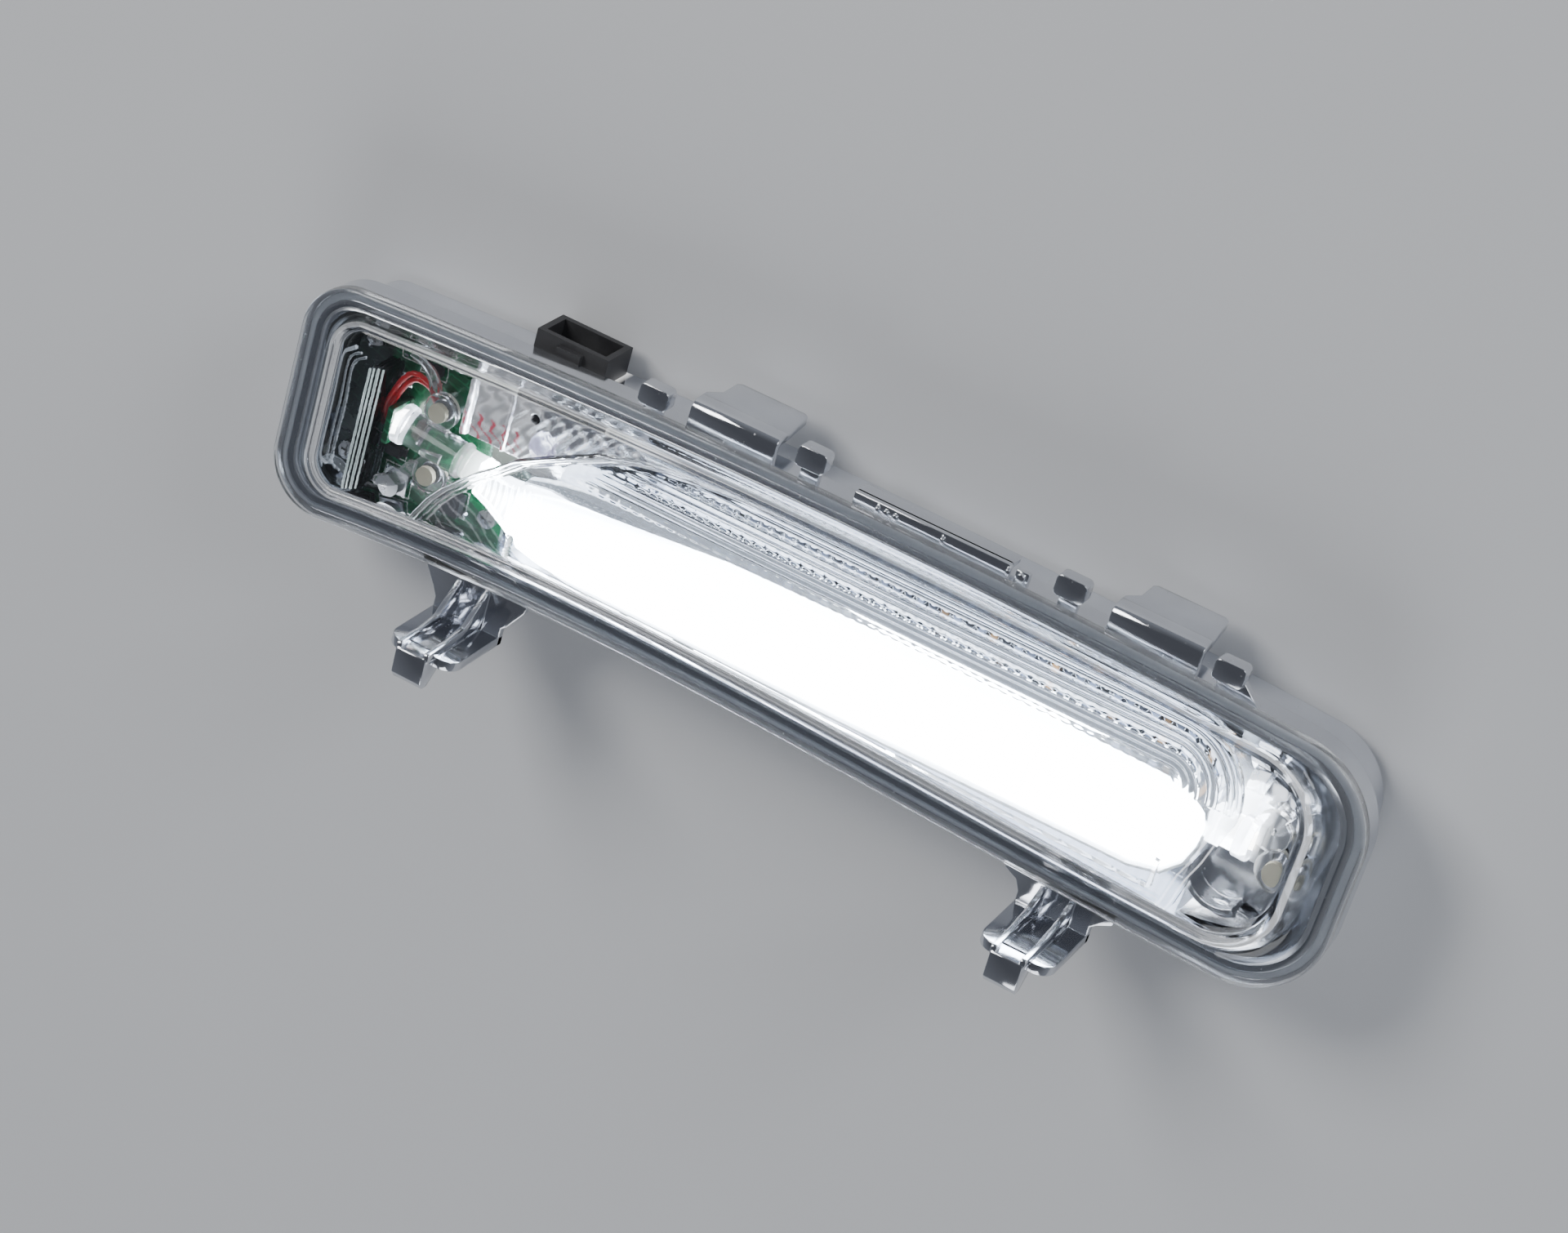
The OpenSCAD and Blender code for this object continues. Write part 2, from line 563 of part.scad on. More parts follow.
module feed_wires() {
  zw = z_in + 0.85;
  x0 = xl(-67);
  x1 = xr(96.8);
  color([0.12, 0.12, 0.13]) place() for (y = [2.8, 6]) {
    translate([x0, y, zw]) rotate([0, 90, 0]) cylinder(h = x1 - x0, r = 0.75, $fn = 20);
    rod(x0, y, z_in + 0.1, board_z, 1.05, 24);
    rod(x1, y, z_in + 0.1, right_z, 1.05, 24);
  }
}

module connector_shell() {
  h = plug_w / 2;
  color([0.08, 0.08, 0.09]) place() difference() {
    union() {
      box(plug_x - h, plug_x + h, 17.4, 31, plug_z0, plug_z1);
      box(plug_x - 3, plug_x + 3, 24.6, 29.6, plug_z1 - 0.5, plug_z1 + 1.4);
    }
    box(plug_x - h + 1.5, plug_x + h - 1.5, 21, 33, plug_z0 + 1.5, plug_z1 - 1.5);
  }
}

module connector_pins() {
  zc = (plug_z0 + plug_z1) / 2;
  color([0.8, 0.66, 0.35]) place() for (i = [-1 : 1])
    box(plug_x + 4.4 * i - 0.8, plug_x + 4.4 * i + 0.8, 21, 26, zc - 0.4, zc + 0.4);
}

module vent_cap() {
  color([0.1, 0.1, 0.11]) place() difference() {
    rod(xl(-30), -1, z_floor - 1.2, z_floor, 5, 40);
    for (a = [0 : 45 : 315]) translate([xl(-30), -1, z_floor - 1.2]) rotate([0, 0, a]) translate([3.2, 0, 0])
      cube([2, 0.8, 0.8], center = true);
  }
}

outer_lens();
seal_bead();
housing();
inner_lens();
light_guide();
light_tray();
left_reflector();
right_reflector();
partition();
left_frame();
driver_board();
driver_chip();
capacitor();
inductor();
diode();
resistors();
left_led_board();
left_led();
left_collar();
right_led_board();
right_led();
right_collar();
left_studs();
right_stud();
board_screws();
red_wires();
feed_wires();
connector_shell();
connector_pins();
vent_cap();
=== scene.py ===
"""Looks for a daytime running light: clear covers, a lit blade and a plated housing.

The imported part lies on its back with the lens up, so +X runs along the lamp,
+Y across it towards the tongues and +Z out of the lens.  Sizes that name a
place on the lamp are millimetres of the lamp's own frame, whose plane z = 0
is the front of the rim; ``LampFrame`` turns them into the scene's metres.
"""

from __future__ import annotations

import json
import logging
import math
from collections.abc import Callable
from dataclasses import dataclass, field
from enum import Enum

import bmesh
import bpy
from mathutils import Matrix, Vector

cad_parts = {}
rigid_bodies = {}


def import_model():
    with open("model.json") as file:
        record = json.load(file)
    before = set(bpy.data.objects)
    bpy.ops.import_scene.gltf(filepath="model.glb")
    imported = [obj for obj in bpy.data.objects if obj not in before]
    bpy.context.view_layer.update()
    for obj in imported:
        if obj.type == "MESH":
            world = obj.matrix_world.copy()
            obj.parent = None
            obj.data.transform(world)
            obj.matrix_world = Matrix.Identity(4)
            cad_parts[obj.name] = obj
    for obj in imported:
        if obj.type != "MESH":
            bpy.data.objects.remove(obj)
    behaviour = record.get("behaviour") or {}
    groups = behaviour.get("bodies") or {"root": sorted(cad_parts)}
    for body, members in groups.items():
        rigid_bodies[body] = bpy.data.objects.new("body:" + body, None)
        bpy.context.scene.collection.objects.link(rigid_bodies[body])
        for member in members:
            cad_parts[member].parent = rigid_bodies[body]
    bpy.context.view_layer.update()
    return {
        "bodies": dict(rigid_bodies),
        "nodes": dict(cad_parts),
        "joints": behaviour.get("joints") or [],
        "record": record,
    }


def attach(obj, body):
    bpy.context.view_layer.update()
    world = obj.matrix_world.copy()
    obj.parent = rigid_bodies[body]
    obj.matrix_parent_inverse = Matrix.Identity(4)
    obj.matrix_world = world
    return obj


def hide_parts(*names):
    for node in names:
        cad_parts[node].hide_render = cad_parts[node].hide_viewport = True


LOG = logging.getLogger("running_light")
MM = 0.001
# Refractive index of clear plastic, unless a finish names its own.
ACRYLIC_IOR = 1.49
# Where the guide's right end has its middle across the lamp, in millimetres.
GUIDE_Y = -2.4
# First angle, last angle and steps of a whole round outline.
DISC = (0, 345, 23)

Colour = tuple[float, float, float]
Point = tuple[float, float, float]
Flat = tuple[float, float]
Line = tuple[Flat, ...]

UNLIT: Colour = (0.0, 0.0, 0.0)
ALONG, ACROSS, UP = (Vector(axis) for axis in ((1, 0, 0), (0, 1, 0), (0, 0, 1)))
# Names of the painted light (an emission colour) and the painted shade (a share of darkening) that a piece
# stores on its points.
PAINTED_LIGHT, PAINTED_SHADE = "PaintedLight", "PaintedShade"


@dataclass(frozen=True)
class LampFrame:
    """Where the lamp's own frame lies in the scene.

    The rim's front plane is ``lift`` above the floor and the middle of the
    rim is ``across`` from the scene's origin, both in millimetres.
    """

    across: float = 3.2
    lift: float = 25.5

    def at(self, x: float, y: float, z: float) -> Vector:
        """Turns a place on the lamp, in millimetres, into scene metres.

        Args:
            x: Place along the lamp.
            y: Place across the lamp.
            z: Height over the rim's front plane.

        Returns:
            The same place in the scene, in metres.
        """
        return Vector((x * MM, (y + self.across) * MM, (z + self.lift) * MM))


LAMP = LampFrame()


def ramp(value: float, start: float, length: float, least: float = 0.0) -> float:
    """Rises evenly to 1 over a stretch.

    Args:
        value: Where it is read.
        start: Where the rise starts.
        length: How long the rise is.
        least: The lowest result.

    Returns:
        A number from ``least`` to 1.
    """
    return min(1.0, max(least, (value - start) / length))


def bead(offset: float, half: float) -> float:
    """Gives the section of a round bead of height 1.

    Args:
        offset: Distance from the bead's middle.
        half: Half of its width.

    Returns:
        Its height there.
    """
    return max(0.0, 1 - (offset / half) ** 2) ** 0.5


def read_line(line: Line, at: float, axis: int) -> float:
    """Reads a line's second coordinate where the first has a given value.

    Args:
        line: Points of the line.
        at: The value of the first coordinate.
        axis: Which coordinate counts as the first, 0 for x and 1 for y.

    Returns:
        The other coordinate there, or at the nearer end of the line.
    """
    points = sorted((p[axis], p[1 - axis]) for p in line)
    for a, b in zip(points, points[1:]):
        if at <= b[0]:
            return a[1] + (b[1] - a[1]) * max(0.0, (at - a[0]) / (b[0] - a[0]))
    return points[-1][1]


def circle(centre: Vector, side: Vector, other: Vector, radius: float, count: int) -> list[Vector]:
    """Gives evenly spread points of a circle.

    Args:
        centre: Its centre.
        side: Unit vector towards its first point.
        other: Unit vector at right angles to it in the circle's plane.
        radius: Its radius.
        count: How many points it has.

    Returns:
        The points.
    """
    angles = (2 * math.pi * k / count for k in range(count))
    return [centre + radius * (side * math.cos(a) + other * math.sin(a)) for a in angles]


def stand(name: str, data: bpy.types.ID) -> bpy.types.Object:
    """Puts a mesh, light or camera into the scene.

    Args:
        name: Name of the new object.
        data: What the object shows.

    Returns:
        The object.
    """
    made = bpy.data.objects.new(name, data)
    bpy.context.scene.collection.objects.link(made)
    return made


def settle(piece: bpy.types.Object) -> None:
    """Turns a piece's modifiers into its mesh.

    Args:
        piece: The piece.
    """
    bpy.context.view_layer.update()
    before = piece.data
    ready = piece.evaluated_get(bpy.context.evaluated_depsgraph_get())
    piece.data = bpy.data.meshes.new_from_object(ready)
    piece.modifiers.clear()
    bpy.data.meshes.remove(before)
    piece.data.name = piece.name


class NodeBench:
    """A material's or group's node tree, with short calls to add and join nodes."""

    def __init__(self, tree: bpy.types.NodeTree) -> None:
        """Takes the tree and clears it.

        Args:
            tree: The node tree to fill.
        """
        self.tree = tree
        tree.nodes.clear()

    def add(self, kind: str, **inputs: object) -> bpy.types.Node:
        """Adds a node and sets it up.

        Args:
            kind: The node's Blender type, without its ShaderNode prefix.
            **inputs: Socket names (with _ for a space, or i and a number) and
                what goes in them, a socket of another node or a plain value.
                A name that starts with ``p_`` sets a property of the node.

        Returns:
            The new node.
        """
        node = self.tree.nodes.new(kind if kind.startswith("Node") else "ShaderNode" + kind)
        for name, value in inputs.items():
            if name.startswith("p_"):
                setattr(node, name[2:], value)
        for name, value in inputs.items():
            if name.startswith("p_"):
                continue
            numbered = name[0] == "i" and name[1:].isdigit()
            socket = node.inputs[int(name[1:]) if numbered else name.replace("_", " ")]
            if isinstance(value, bpy.types.NodeSocket):
                self.tree.links.new(value, socket)
            elif isinstance(value, tuple) and len(value) == 3 and socket.type == "RGBA":
                socket.default_value = (*value, 1.0)
            else:
                socket.default_value = value
        return node

    def math(self, operation: str, a: object, b: object = 0.0,
             clamp: bool = False) -> bpy.types.NodeSocket:
        """Adds a Math node.

        Args:
            operation: The node's operation, such as MULTIPLY.
            a: First value or socket.
            b: Second value or socket.
            clamp: Whether the result is kept between 0 and 1.

        Returns:
            The node's output socket.
        """
        return self.add("Math", p_operation=operation, p_use_clamp=clamp, i0=a, i1=b).outputs[0]

    def spread(self, value: object, lo: float, hi: float, to_lo: float = 0.0,
               to_hi: float = 1.0) -> bpy.types.NodeSocket:
        """Adds a clamped Map Range node.

        Args:
            value: Value or socket to map.
            lo: Start of the range read.
            hi: End of the range read.
            to_lo: Result at ``lo``.
            to_hi: Result at ``hi``.

        Returns:
            The node's output socket.
        """
        return self.add("MapRange", i0=value, i1=lo, i2=hi, i3=to_lo, i4=to_hi).outputs[0]

    def blend(self, mask: object, low: object, high: object) -> bpy.types.NodeSocket:
        """Adds a colour Mix node.

        Args:
            mask: Share of ``high``.
            low: Colour or socket where the mask is 0.
            high: Colour or socket where the mask is 1.

        Returns:
            The node's colour output socket.
        """
        return self.add("Mix", p_data_type="RGBA", i0=mask, i6=low, i7=high).outputs[2]

    def stored(self, colour: object, painted_shade_colour: Colour) -> tuple[bpy.types.NodeSocket, bpy.types.NodeSocket]:
        """Reads the painted light and the painted shade that a piece stores on its points.

        Args:
            colour: Colour or socket where there is no painted shade.
            painted_shade_colour: Colour where the painted shade is full.

        Returns:
            The sockets of the surface's colour, darkened by the painted shade, and of its painted light.
        """
        light, painted_shade = (self.add("Attribute", p_attribute_name=name) for name in (PAINTED_LIGHT, PAINTED_SHADE))
        return self.blend(painted_shade.outputs["Fac"], colour, painted_shade_colour), light.outputs["Color"]


class EffectGroups:
    """The shader node groups that several finishes share."""

    def __init__(self) -> None:
        """Starts with no group built."""
        self._built: dict[str, bpy.types.ShaderNodeTree] = {}

    def _new(self, name: str, inputs: dict[str, float], outputs: tuple[str, ...]) -> NodeBench:
        """Makes an empty group with its number sockets.

        Args:
            name: Name of the group.
            inputs: Names and defaults of its inputs.
            outputs: Names of its outputs.

        Returns:
            A bench on the group's tree.
        """
        tree = bpy.data.node_groups.new(name, "ShaderNodeTree")
        for label, default in inputs.items():
            socket = tree.interface.new_socket(label, in_out="INPUT", socket_type="NodeSocketFloat")
            socket.default_value = default
        for label in outputs:
            tree.interface.new_socket(label, in_out="OUTPUT", socket_type="NodeSocketFloat")
        self._built[name] = tree
        return NodeBench(tree)

    def mottle(self) -> bpy.types.ShaderNodeTree:
        """Soft uneven patches and fine specks, for haze and handling marks.

        Returns:
            The group, with inputs Patch and Speck (sizes in metres) and
            outputs Patches, Specks and Height.
        """
        if "SurfaceMottle" in self._built:
            return self._built["SurfaceMottle"]
        b = self._new("SurfaceMottle", {"Patch": 0.02, "Speck": 0.001}, ("Patches", "Specks", "Height"))
        src = b.add("NodeGroupInput")
        place = b.add("TexCoord").outputs["Object"]
        patches, specks, cells = (b.math("DIVIDE", share, src.outputs[size])
                                  for share, size in ((1.0, "Patch"), (1.0, "Speck"), (0.35, "Speck")))
        wide = b.add("TexNoise", Vector=place, Scale=patches, Detail=4.0, Roughness=0.6)
        fine = b.add("TexNoise", Vector=place, Scale=specks, Detail=2.0, Roughness=0.7)
        dots = b.add("TexVoronoi", Vector=place, Scale=cells, Randomness=1.0)
        b.add("NodeGroupOutput", Patches=b.spread(wide.outputs[0], 0.32, 0.68),
              Specks=b.spread(dots.outputs["Distance"], 0.1, 0.04), Height=fine.outputs[0])
        return b.tree

    def span(self) -> bpy.types.ShaderNodeTree:
        """Masks by place on the lamp, for lit stretches and rim bands.

        Returns:
            The group, with inputs From, To and Soft in metres and outputs
            AlongX, AcrossY and UpZ, each 1 between From and To.
        """
        if "PlaceSpan" in self._built:
            return self._built["PlaceSpan"]
        b = self._new("PlaceSpan", {"From": 0.0, "To": 1.0, "Soft": 0.002}, ("AlongX", "AcrossY", "UpZ"))
        src = b.add("NodeGroupInput").outputs
        place = b.add("SeparateXYZ", Vector=b.add("TexCoord").outputs["Object"]).outputs
        soft = b.math("MAXIMUM", src["Soft"], 1e-5)
        masks = {}
        for axis, label in enumerate(("AlongX", "AcrossY", "UpZ")):
            ends = (b.math("DIVIDE", b.math("SUBTRACT", *pair), soft, clamp=True)
                    for pair in ((place[axis], src["From"]), (src["To"], place[axis])))
            masks[label] = b.math("MULTIPLY", *ends)
        b.add("NodeGroupOutput", **masks)
        return b.tree


EFFECTS = EffectGroups()


def new_material(name: str) -> tuple[bpy.types.Material, NodeBench]:
    """Makes an empty node material.

    Args:
        name: Name of the material.

    Returns:
        The material and a bench on its tree.
    """
    material = bpy.data.materials.new(name)
    material.use_nodes = True
    return material, NodeBench(material.node_tree)


def close_material(bench: NodeBench, shader: bpy.types.Node) -> None:
    """Joins a shader to the material's output.

    Args:
        bench: The bench on the material's tree.
        shader: The shader node to show.
    """
    bench.add("OutputMaterial", Surface=shader.outputs[0])


@dataclass(frozen=True)
class PlatedPlastic:
    """Plastic with a bright metallised coat."""

    name: str
    tint: Colour
    dull: Colour
    gloss: float = 0.06
    haze: float = 0.16
    ripple: float = 0.03
    round_mm: float = 0.35

    def build(self) -> bpy.types.Material:
        """Builds the material.

        Returns:
            The material, ready to assign.
        """
        material, b = new_material(self.name)
        marks = b.add("Group", p_node_tree=EFFECTS.mottle(), Patch=0.018, Speck=0.0011)
        colour = b.blend(marks.outputs["Patches"], self.tint, self.dull)
        rough = b.math("ADD", b.spread(marks.outputs["Patches"], 0.0, 1.0, self.gloss, self.haze),
                       b.math("MULTIPLY", marks.outputs["Specks"], 0.25))
        soft = b.add("Bevel", p_samples=6, Radius=self.round_mm * MM)
        wave = b.add("TexNoise", Vector=b.add("TexCoord").outputs["Object"], Scale=140.0, Detail=2.0)
        bump = b.add("Bump", Strength=self.ripple, Distance=0.0006, Height=wave.outputs[0],
                     Normal=soft.outputs[0])
        # Painted shade darkens the plating towards near black, and painted light is added as emission, both
        # as the piece stores them.
        colour, light = b.stored(colour, (0.02, 0.02, 0.025))
        shader = b.add("BsdfPrincipled", Base_Color=colour, Metallic=1.0, Roughness=rough,
                       Normal=bump.outputs[0], Emission_Color=light, Emission_Strength=1.0)
        close_material(b, shader)
        return material


@dataclass(frozen=True)
class ClearPlastic:
    """Clear moulded plastic, frosted below a given height if it has a rim."""

    name: str
    tint: Colour
    ior: float = ACRYLIC_IOR
    clear: float = 0.015
    frosted: float = 0.015
    rim_top_mm: float = -90.0
    ripple: float = 0.02

    def build(self) -> bpy.types.Material:
        """Builds the material.

        Returns:
            The material, ready to assign.
        """
        material, b = new_material(self.name)
        marks = b.add("Group", p_node_tree=EFFECTS.mottle(), Patch=0.03, Speck=0.0009)
        rim = b.add("Group", p_node_tree=EFFECTS.span(), From=-1.0,
                    To=LAMP.at(0, 0, self.rim_top_mm).z, Soft=0.0006)
        rough = b.math("ADD", b.spread(rim.outputs["UpZ"], 0.0, 1.0, self.clear, self.frosted),
                       b.math("MULTIPLY", marks.outputs["Specks"], 0.06))
        bump = b.add("Bump", Strength=self.ripple, Distance=0.0004, Height=marks.outputs["Height"])
        # Painted shade darkens the clear plastic towards a dark blue grey, and painted light is added as
        # emission, both as the piece stores them.
        colour, light = b.stored(self.tint, (0.2, 0.23, 0.28))
        shader = b.add("BsdfPrincipled", Base_Color=colour, Roughness=rough, IOR=self.ior,
                       Transmission_Weight=1.0, Normal=bump.outputs[0], Emission_Color=light,
                       Emission_Strength=1.0)
        close_material(b, shader)
        return material


@dataclass(frozen=True)
class LitPlastic:
    """Plastic that glows along a stretch of the lamp, more so below a given height."""

    name: str
    tint: Colour
    glow: Colour
    strength: float
    start_mm: float = -200.0
    end_mm: float = 200.0
    soft_mm: float = 6.0
    floor_share: float = 0.05
    clear: bool = False
    top_mm: float = 90.0
    top_share: float = 1.0
    tooth_mm: float = 0.0

    def build(self) -> bpy.types.Material:
        """Builds the material.

        Returns:
            The material, ready to assign.
        """
        material, b = new_material(self.name)
        lit = b.add("Group", p_node_tree=EFFECTS.span(), From=self.start_mm * MM,
                    To=self.end_mm * MM, Soft=self.soft_mm * MM)
        marks = b.add("Group", p_node_tree=EFFECTS.mottle(), Patch=0.012, Speck=0.0012)
        share = b.spread(lit.outputs["AlongX"], 0.0, 1.0, self.floor_share, 1.0)
        low = b.add("Group", p_node_tree=EFFECTS.span(), From=-1.0,
                    To=LAMP.at(0, 0, self.top_mm).z, Soft=0.0008)
        share = b.math("MULTIPLY", share, b.spread(low.outputs["UpZ"], 0.0, 1.0, self.top_share, 1.0))
        if self.tooth_mm:
            along = b.add("SeparateXYZ", Vector=b.add("TexCoord").outputs["Object"]).outputs[0]
            tooth = b.math("FRACT", b.math("MULTIPLY", along, 1.0 / (self.tooth_mm * MM)))
            share = b.math("MULTIPLY", share, b.spread(tooth, 0.0, 0.9, 0.7, 1.0))
        glow = b.blend(share, UNLIT, self.glow)
        tint = b.blend(marks.outputs["Patches"], self.tint, tuple(0.93 * c for c in self.tint))
        rough, through = (0.12, 1.0) if self.clear else (0.4, 0.0)
        shader = b.add("BsdfPrincipled", Base_Color=tint, Roughness=rough, IOR=ACRYLIC_IOR,
                       Transmission_Weight=through, Emission_Color=glow, Emission_Strength=self.strength)
        close_material(b, shader)
        return material


@dataclass(frozen=True)
class MouldedPlastic:
    """Opaque moulded plastic or rubber with a fine grain."""

    name: str
    tint: Colour
    worn: Colour
    smooth: float = 0.35
    rough: float = 0.55
    grain_mm: float = 0.5
    grain: float = 0.08

    def build(self) -> bpy.types.Material:
        """Builds the material.

        Returns:
            The material, ready to assign.
        """
        material, b = new_material(self.name)
        marks = b.add("Group", p_node_tree=EFFECTS.mottle(), Patch=0.009, Speck=self.grain_mm * MM)
        colour = b.blend(marks.outputs["Patches"], self.tint, self.worn)
        rough = b.spread(marks.outputs["Patches"], 0.0, 1.0, self.smooth, self.rough)
        soft = b.add("Bevel", p_samples=4, Radius=0.12 * MM)
        bump = b.add("Bump", Strength=self.grain, Distance=0.0002, Height=marks.outputs["Height"],
                     Normal=soft.outputs[0])
        shader = b.add("BsdfPrincipled", Base_Color=colour, Roughness=rough, Normal=bump.outputs[0])
        close_material(b, shader)
        return material


@dataclass(frozen=True)
class SolderResist:
    """Green circuit board with buried copper tracks, and painted shade left of a given place."""

    name: str
    resist: Colour
    copper: Colour
    shade_mm: float = -113.0

    def build(self) -> bpy.types.Material:
        """Builds the material.

        Returns:
            The material, ready to assign.
        """
        material, b = new_material(self.name)
        place = b.add("TexCoord").outputs["Object"]
        turned = b.add("Mapping", Vector=place, Rotation=(0.0, 0.0, 0.35))
        marks = b.add("Group", p_node_tree=EFFECTS.mottle(), Patch=0.006, Speck=0.0007)
        tracks = b.add("TexBrick", Vector=turned.outputs[0], Scale=130.0, p_offset=0.37, Mortar_Size=0.03,
                       Brick_Width=0.9, Row_Height=0.32)
        track = b.math("MULTIPLY", tracks.outputs["Fac"], b.spread(marks.outputs["Patches"], 0.25, 0.6))
        colour = b.blend(track, self.resist, self.copper)
        # Painted shade: left of shade_mm the board's colour is blended to near black, standing in for the
        # shadow it lies in.
        shade = b.add("Group", p_node_tree=EFFECTS.span(), From=self.shade_mm * MM, To=1.0, Soft=0.0015)
        lit = b.spread(shade.outputs["AlongX"], 0.0, 1.0, 0.12, 1.0)
        colour = b.blend(lit, (0.002, 0.004, 0.004), colour)
        bump = b.add("Bump", Strength=0.25, Distance=0.0001, Height=track)
        rough = b.spread(marks.outputs["Patches"], 0.0, 1.0, 0.22, 0.38)
        shader = b.add("BsdfPrincipled", Base_Color=colour, Roughness=rough, Normal=bump.outputs[0],
                       Coat_Weight=0.4, Coat_Roughness=0.12)
        close_material(b, shader)
        return material


@dataclass(frozen=True)
class SolidMetal:
    """Plain metal with fine scratches."""

    name: str
    tint: Colour
    tarnish: Colour
    smooth: float = 0.2
    rough: float = 0.42

    def build(self) -> bpy.types.Material:
        """Builds the material.

        Returns:
            The material, ready to assign.
        """
        material, b = new_material(self.name)
        marks = b.add("Group", p_node_tree=EFFECTS.mottle(), Patch=0.004, Speck=0.0004)
        colour = b.blend(marks.outputs["Patches"], self.tint, self.tarnish)
        bump = b.add("Bump", Strength=0.12, Distance=0.0001, Height=marks.outputs["Height"])
        shader = b.add("BsdfPrincipled", Base_Color=colour, Metallic=1.0, Normal=bump.outputs[0],
                       Roughness=b.spread(marks.outputs["Patches"], 0.0, 1.0, self.smooth, self.rough))
        close_material(b, shader)
        return material


class Finish(Enum):
    """The lamp's finishes, by the piece or stuff that they are for."""

    PLATED_BODY = PlatedPlastic("Plated housing", (0.74, 0.76, 0.8), (0.66, 0.68, 0.73))
    PLATED_TRIM = PlatedPlastic("Plated trim", (0.86, 0.87, 0.9), (0.78, 0.8, 0.84), gloss=0.12,
                                haze=0.24, round_mm=0.25)
    COVER = ClearPlastic("Clear cover", (0.97, 0.985, 1.0), ior=1.5, frosted=0.22, rim_top_mm=-0.1)
    OPTIC = ClearPlastic("Clear inner optic", (0.96, 0.98, 1.0), ior=1.46)
    CLEAR_TRIM = ClearPlastic("Clear partition", (0.97, 0.98, 1.0), ior=1.42, ripple=0.06)
    GUIDE = LitPlastic("Light guide", (0.97, 0.98, 1.0), (0.93, 0.97, 1.0), strength=6.0,
                       start_mm=-88.0, end_mm=109.6, soft_mm=11.0, floor_share=0.004, clear=True)
    TRAY = LitPlastic("Light tray", (0.92, 0.94, 0.97), (0.86, 0.92, 1.0), strength=6.5,
                      start_mm=-76.0, end_mm=97.0, soft_mm=4.0, floor_share=0.12,
                      top_mm=-10.6, top_share=0.06, tooth_mm=2.6)
    EMITTER = LitPlastic("Light emitter", (1.0, 0.95, 0.8), (1.0, 0.98, 0.95), strength=10.0, soft_mm=1.0)
    COLLAR = LitPlastic("White collar", (0.93, 0.94, 0.97), (0.85, 0.9, 1.0), strength=0.9,
                        soft_mm=1.0, clear=True)
    STUD = MouldedPlastic("Natural nylon", (0.8, 0.76, 0.6), (0.74, 0.69, 0.54))
    BLACK_PART = MouldedPlastic("Moulded epoxy", (0.03, 0.03, 0.033), (0.05, 0.05, 0.055))
    CHIP_PART = MouldedPlastic("Ceramic chip", (0.12, 0.1, 0.09), (0.3, 0.29, 0.28))
    CAN = SolidMetal("Drawn can", (0.78, 0.79, 0.82), (0.66, 0.67, 0.7))
    FERRITE = MouldedPlastic("Sintered ferrite", (0.06, 0.06, 0.065), (0.1, 0.1, 0.105), smooth=0.55,
                             rough=0.75)
    SCREW = SolidMetal("Zinc plated steel", (0.68, 0.68, 0.7), (0.55, 0.54, 0.52))
    RED_WIRE = MouldedPlastic("Red insulation", (0.66, 0.015, 0.02), (0.55, 0.01, 0.016), smooth=0.25,
                              rough=0.35)
    BLACK_WIRE = MouldedPlastic("Black insulation", (0.02, 0.02, 0.022), (0.035, 0.035, 0.037), smooth=0.3,
                                rough=0.45)
    SOCKET = MouldedPlastic("Glass filled nylon", (0.025, 0.025, 0.028), (0.045, 0.045, 0.048),
                            smooth=0.45, rough=0.62, grain_mm=0.4, grain=0.2)
    CONTACT = SolidMetal("Tinned contact", (0.8, 0.66, 0.36), (0.72, 0.62, 0.42))
    VENT = MouldedPlastic("Vent plastic", (0.03, 0.03, 0.033), (0.05, 0.05, 0.053), smooth=0.5, rough=0.7)
    SEAL = MouldedPlastic("Seal", (0.62, 0.66, 0.72), (0.55, 0.59, 0.66), smooth=0.35, rough=0.5)
    SOLDER = SolidMetal("Solder", (0.72, 0.72, 0.74), (0.6, 0.6, 0.62), smooth=0.12, rough=0.3)
    MARKING = MouldedPlastic("White marking", (0.75, 0.77, 0.75), (0.68, 0.7, 0.68), smooth=0.5, rough=0.6)
    WHITE_BOARD = MouldedPlastic("White resist", (0.74, 0.76, 0.78), (0.68, 0.7, 0.73), smooth=0.25,
                                 rough=0.4)
    BOARD = SolderResist("Green resist", (0.004, 0.1, 0.038), (0.02, 0.22, 0.09))

    def material(self) -> bpy.types.Material:
        """Gives the finish's material, building it the first time.

        Returns:
            The material.
        """
        made = bpy.data.materials.get(self.value.name)
        return made if made is not None else self.value.build()


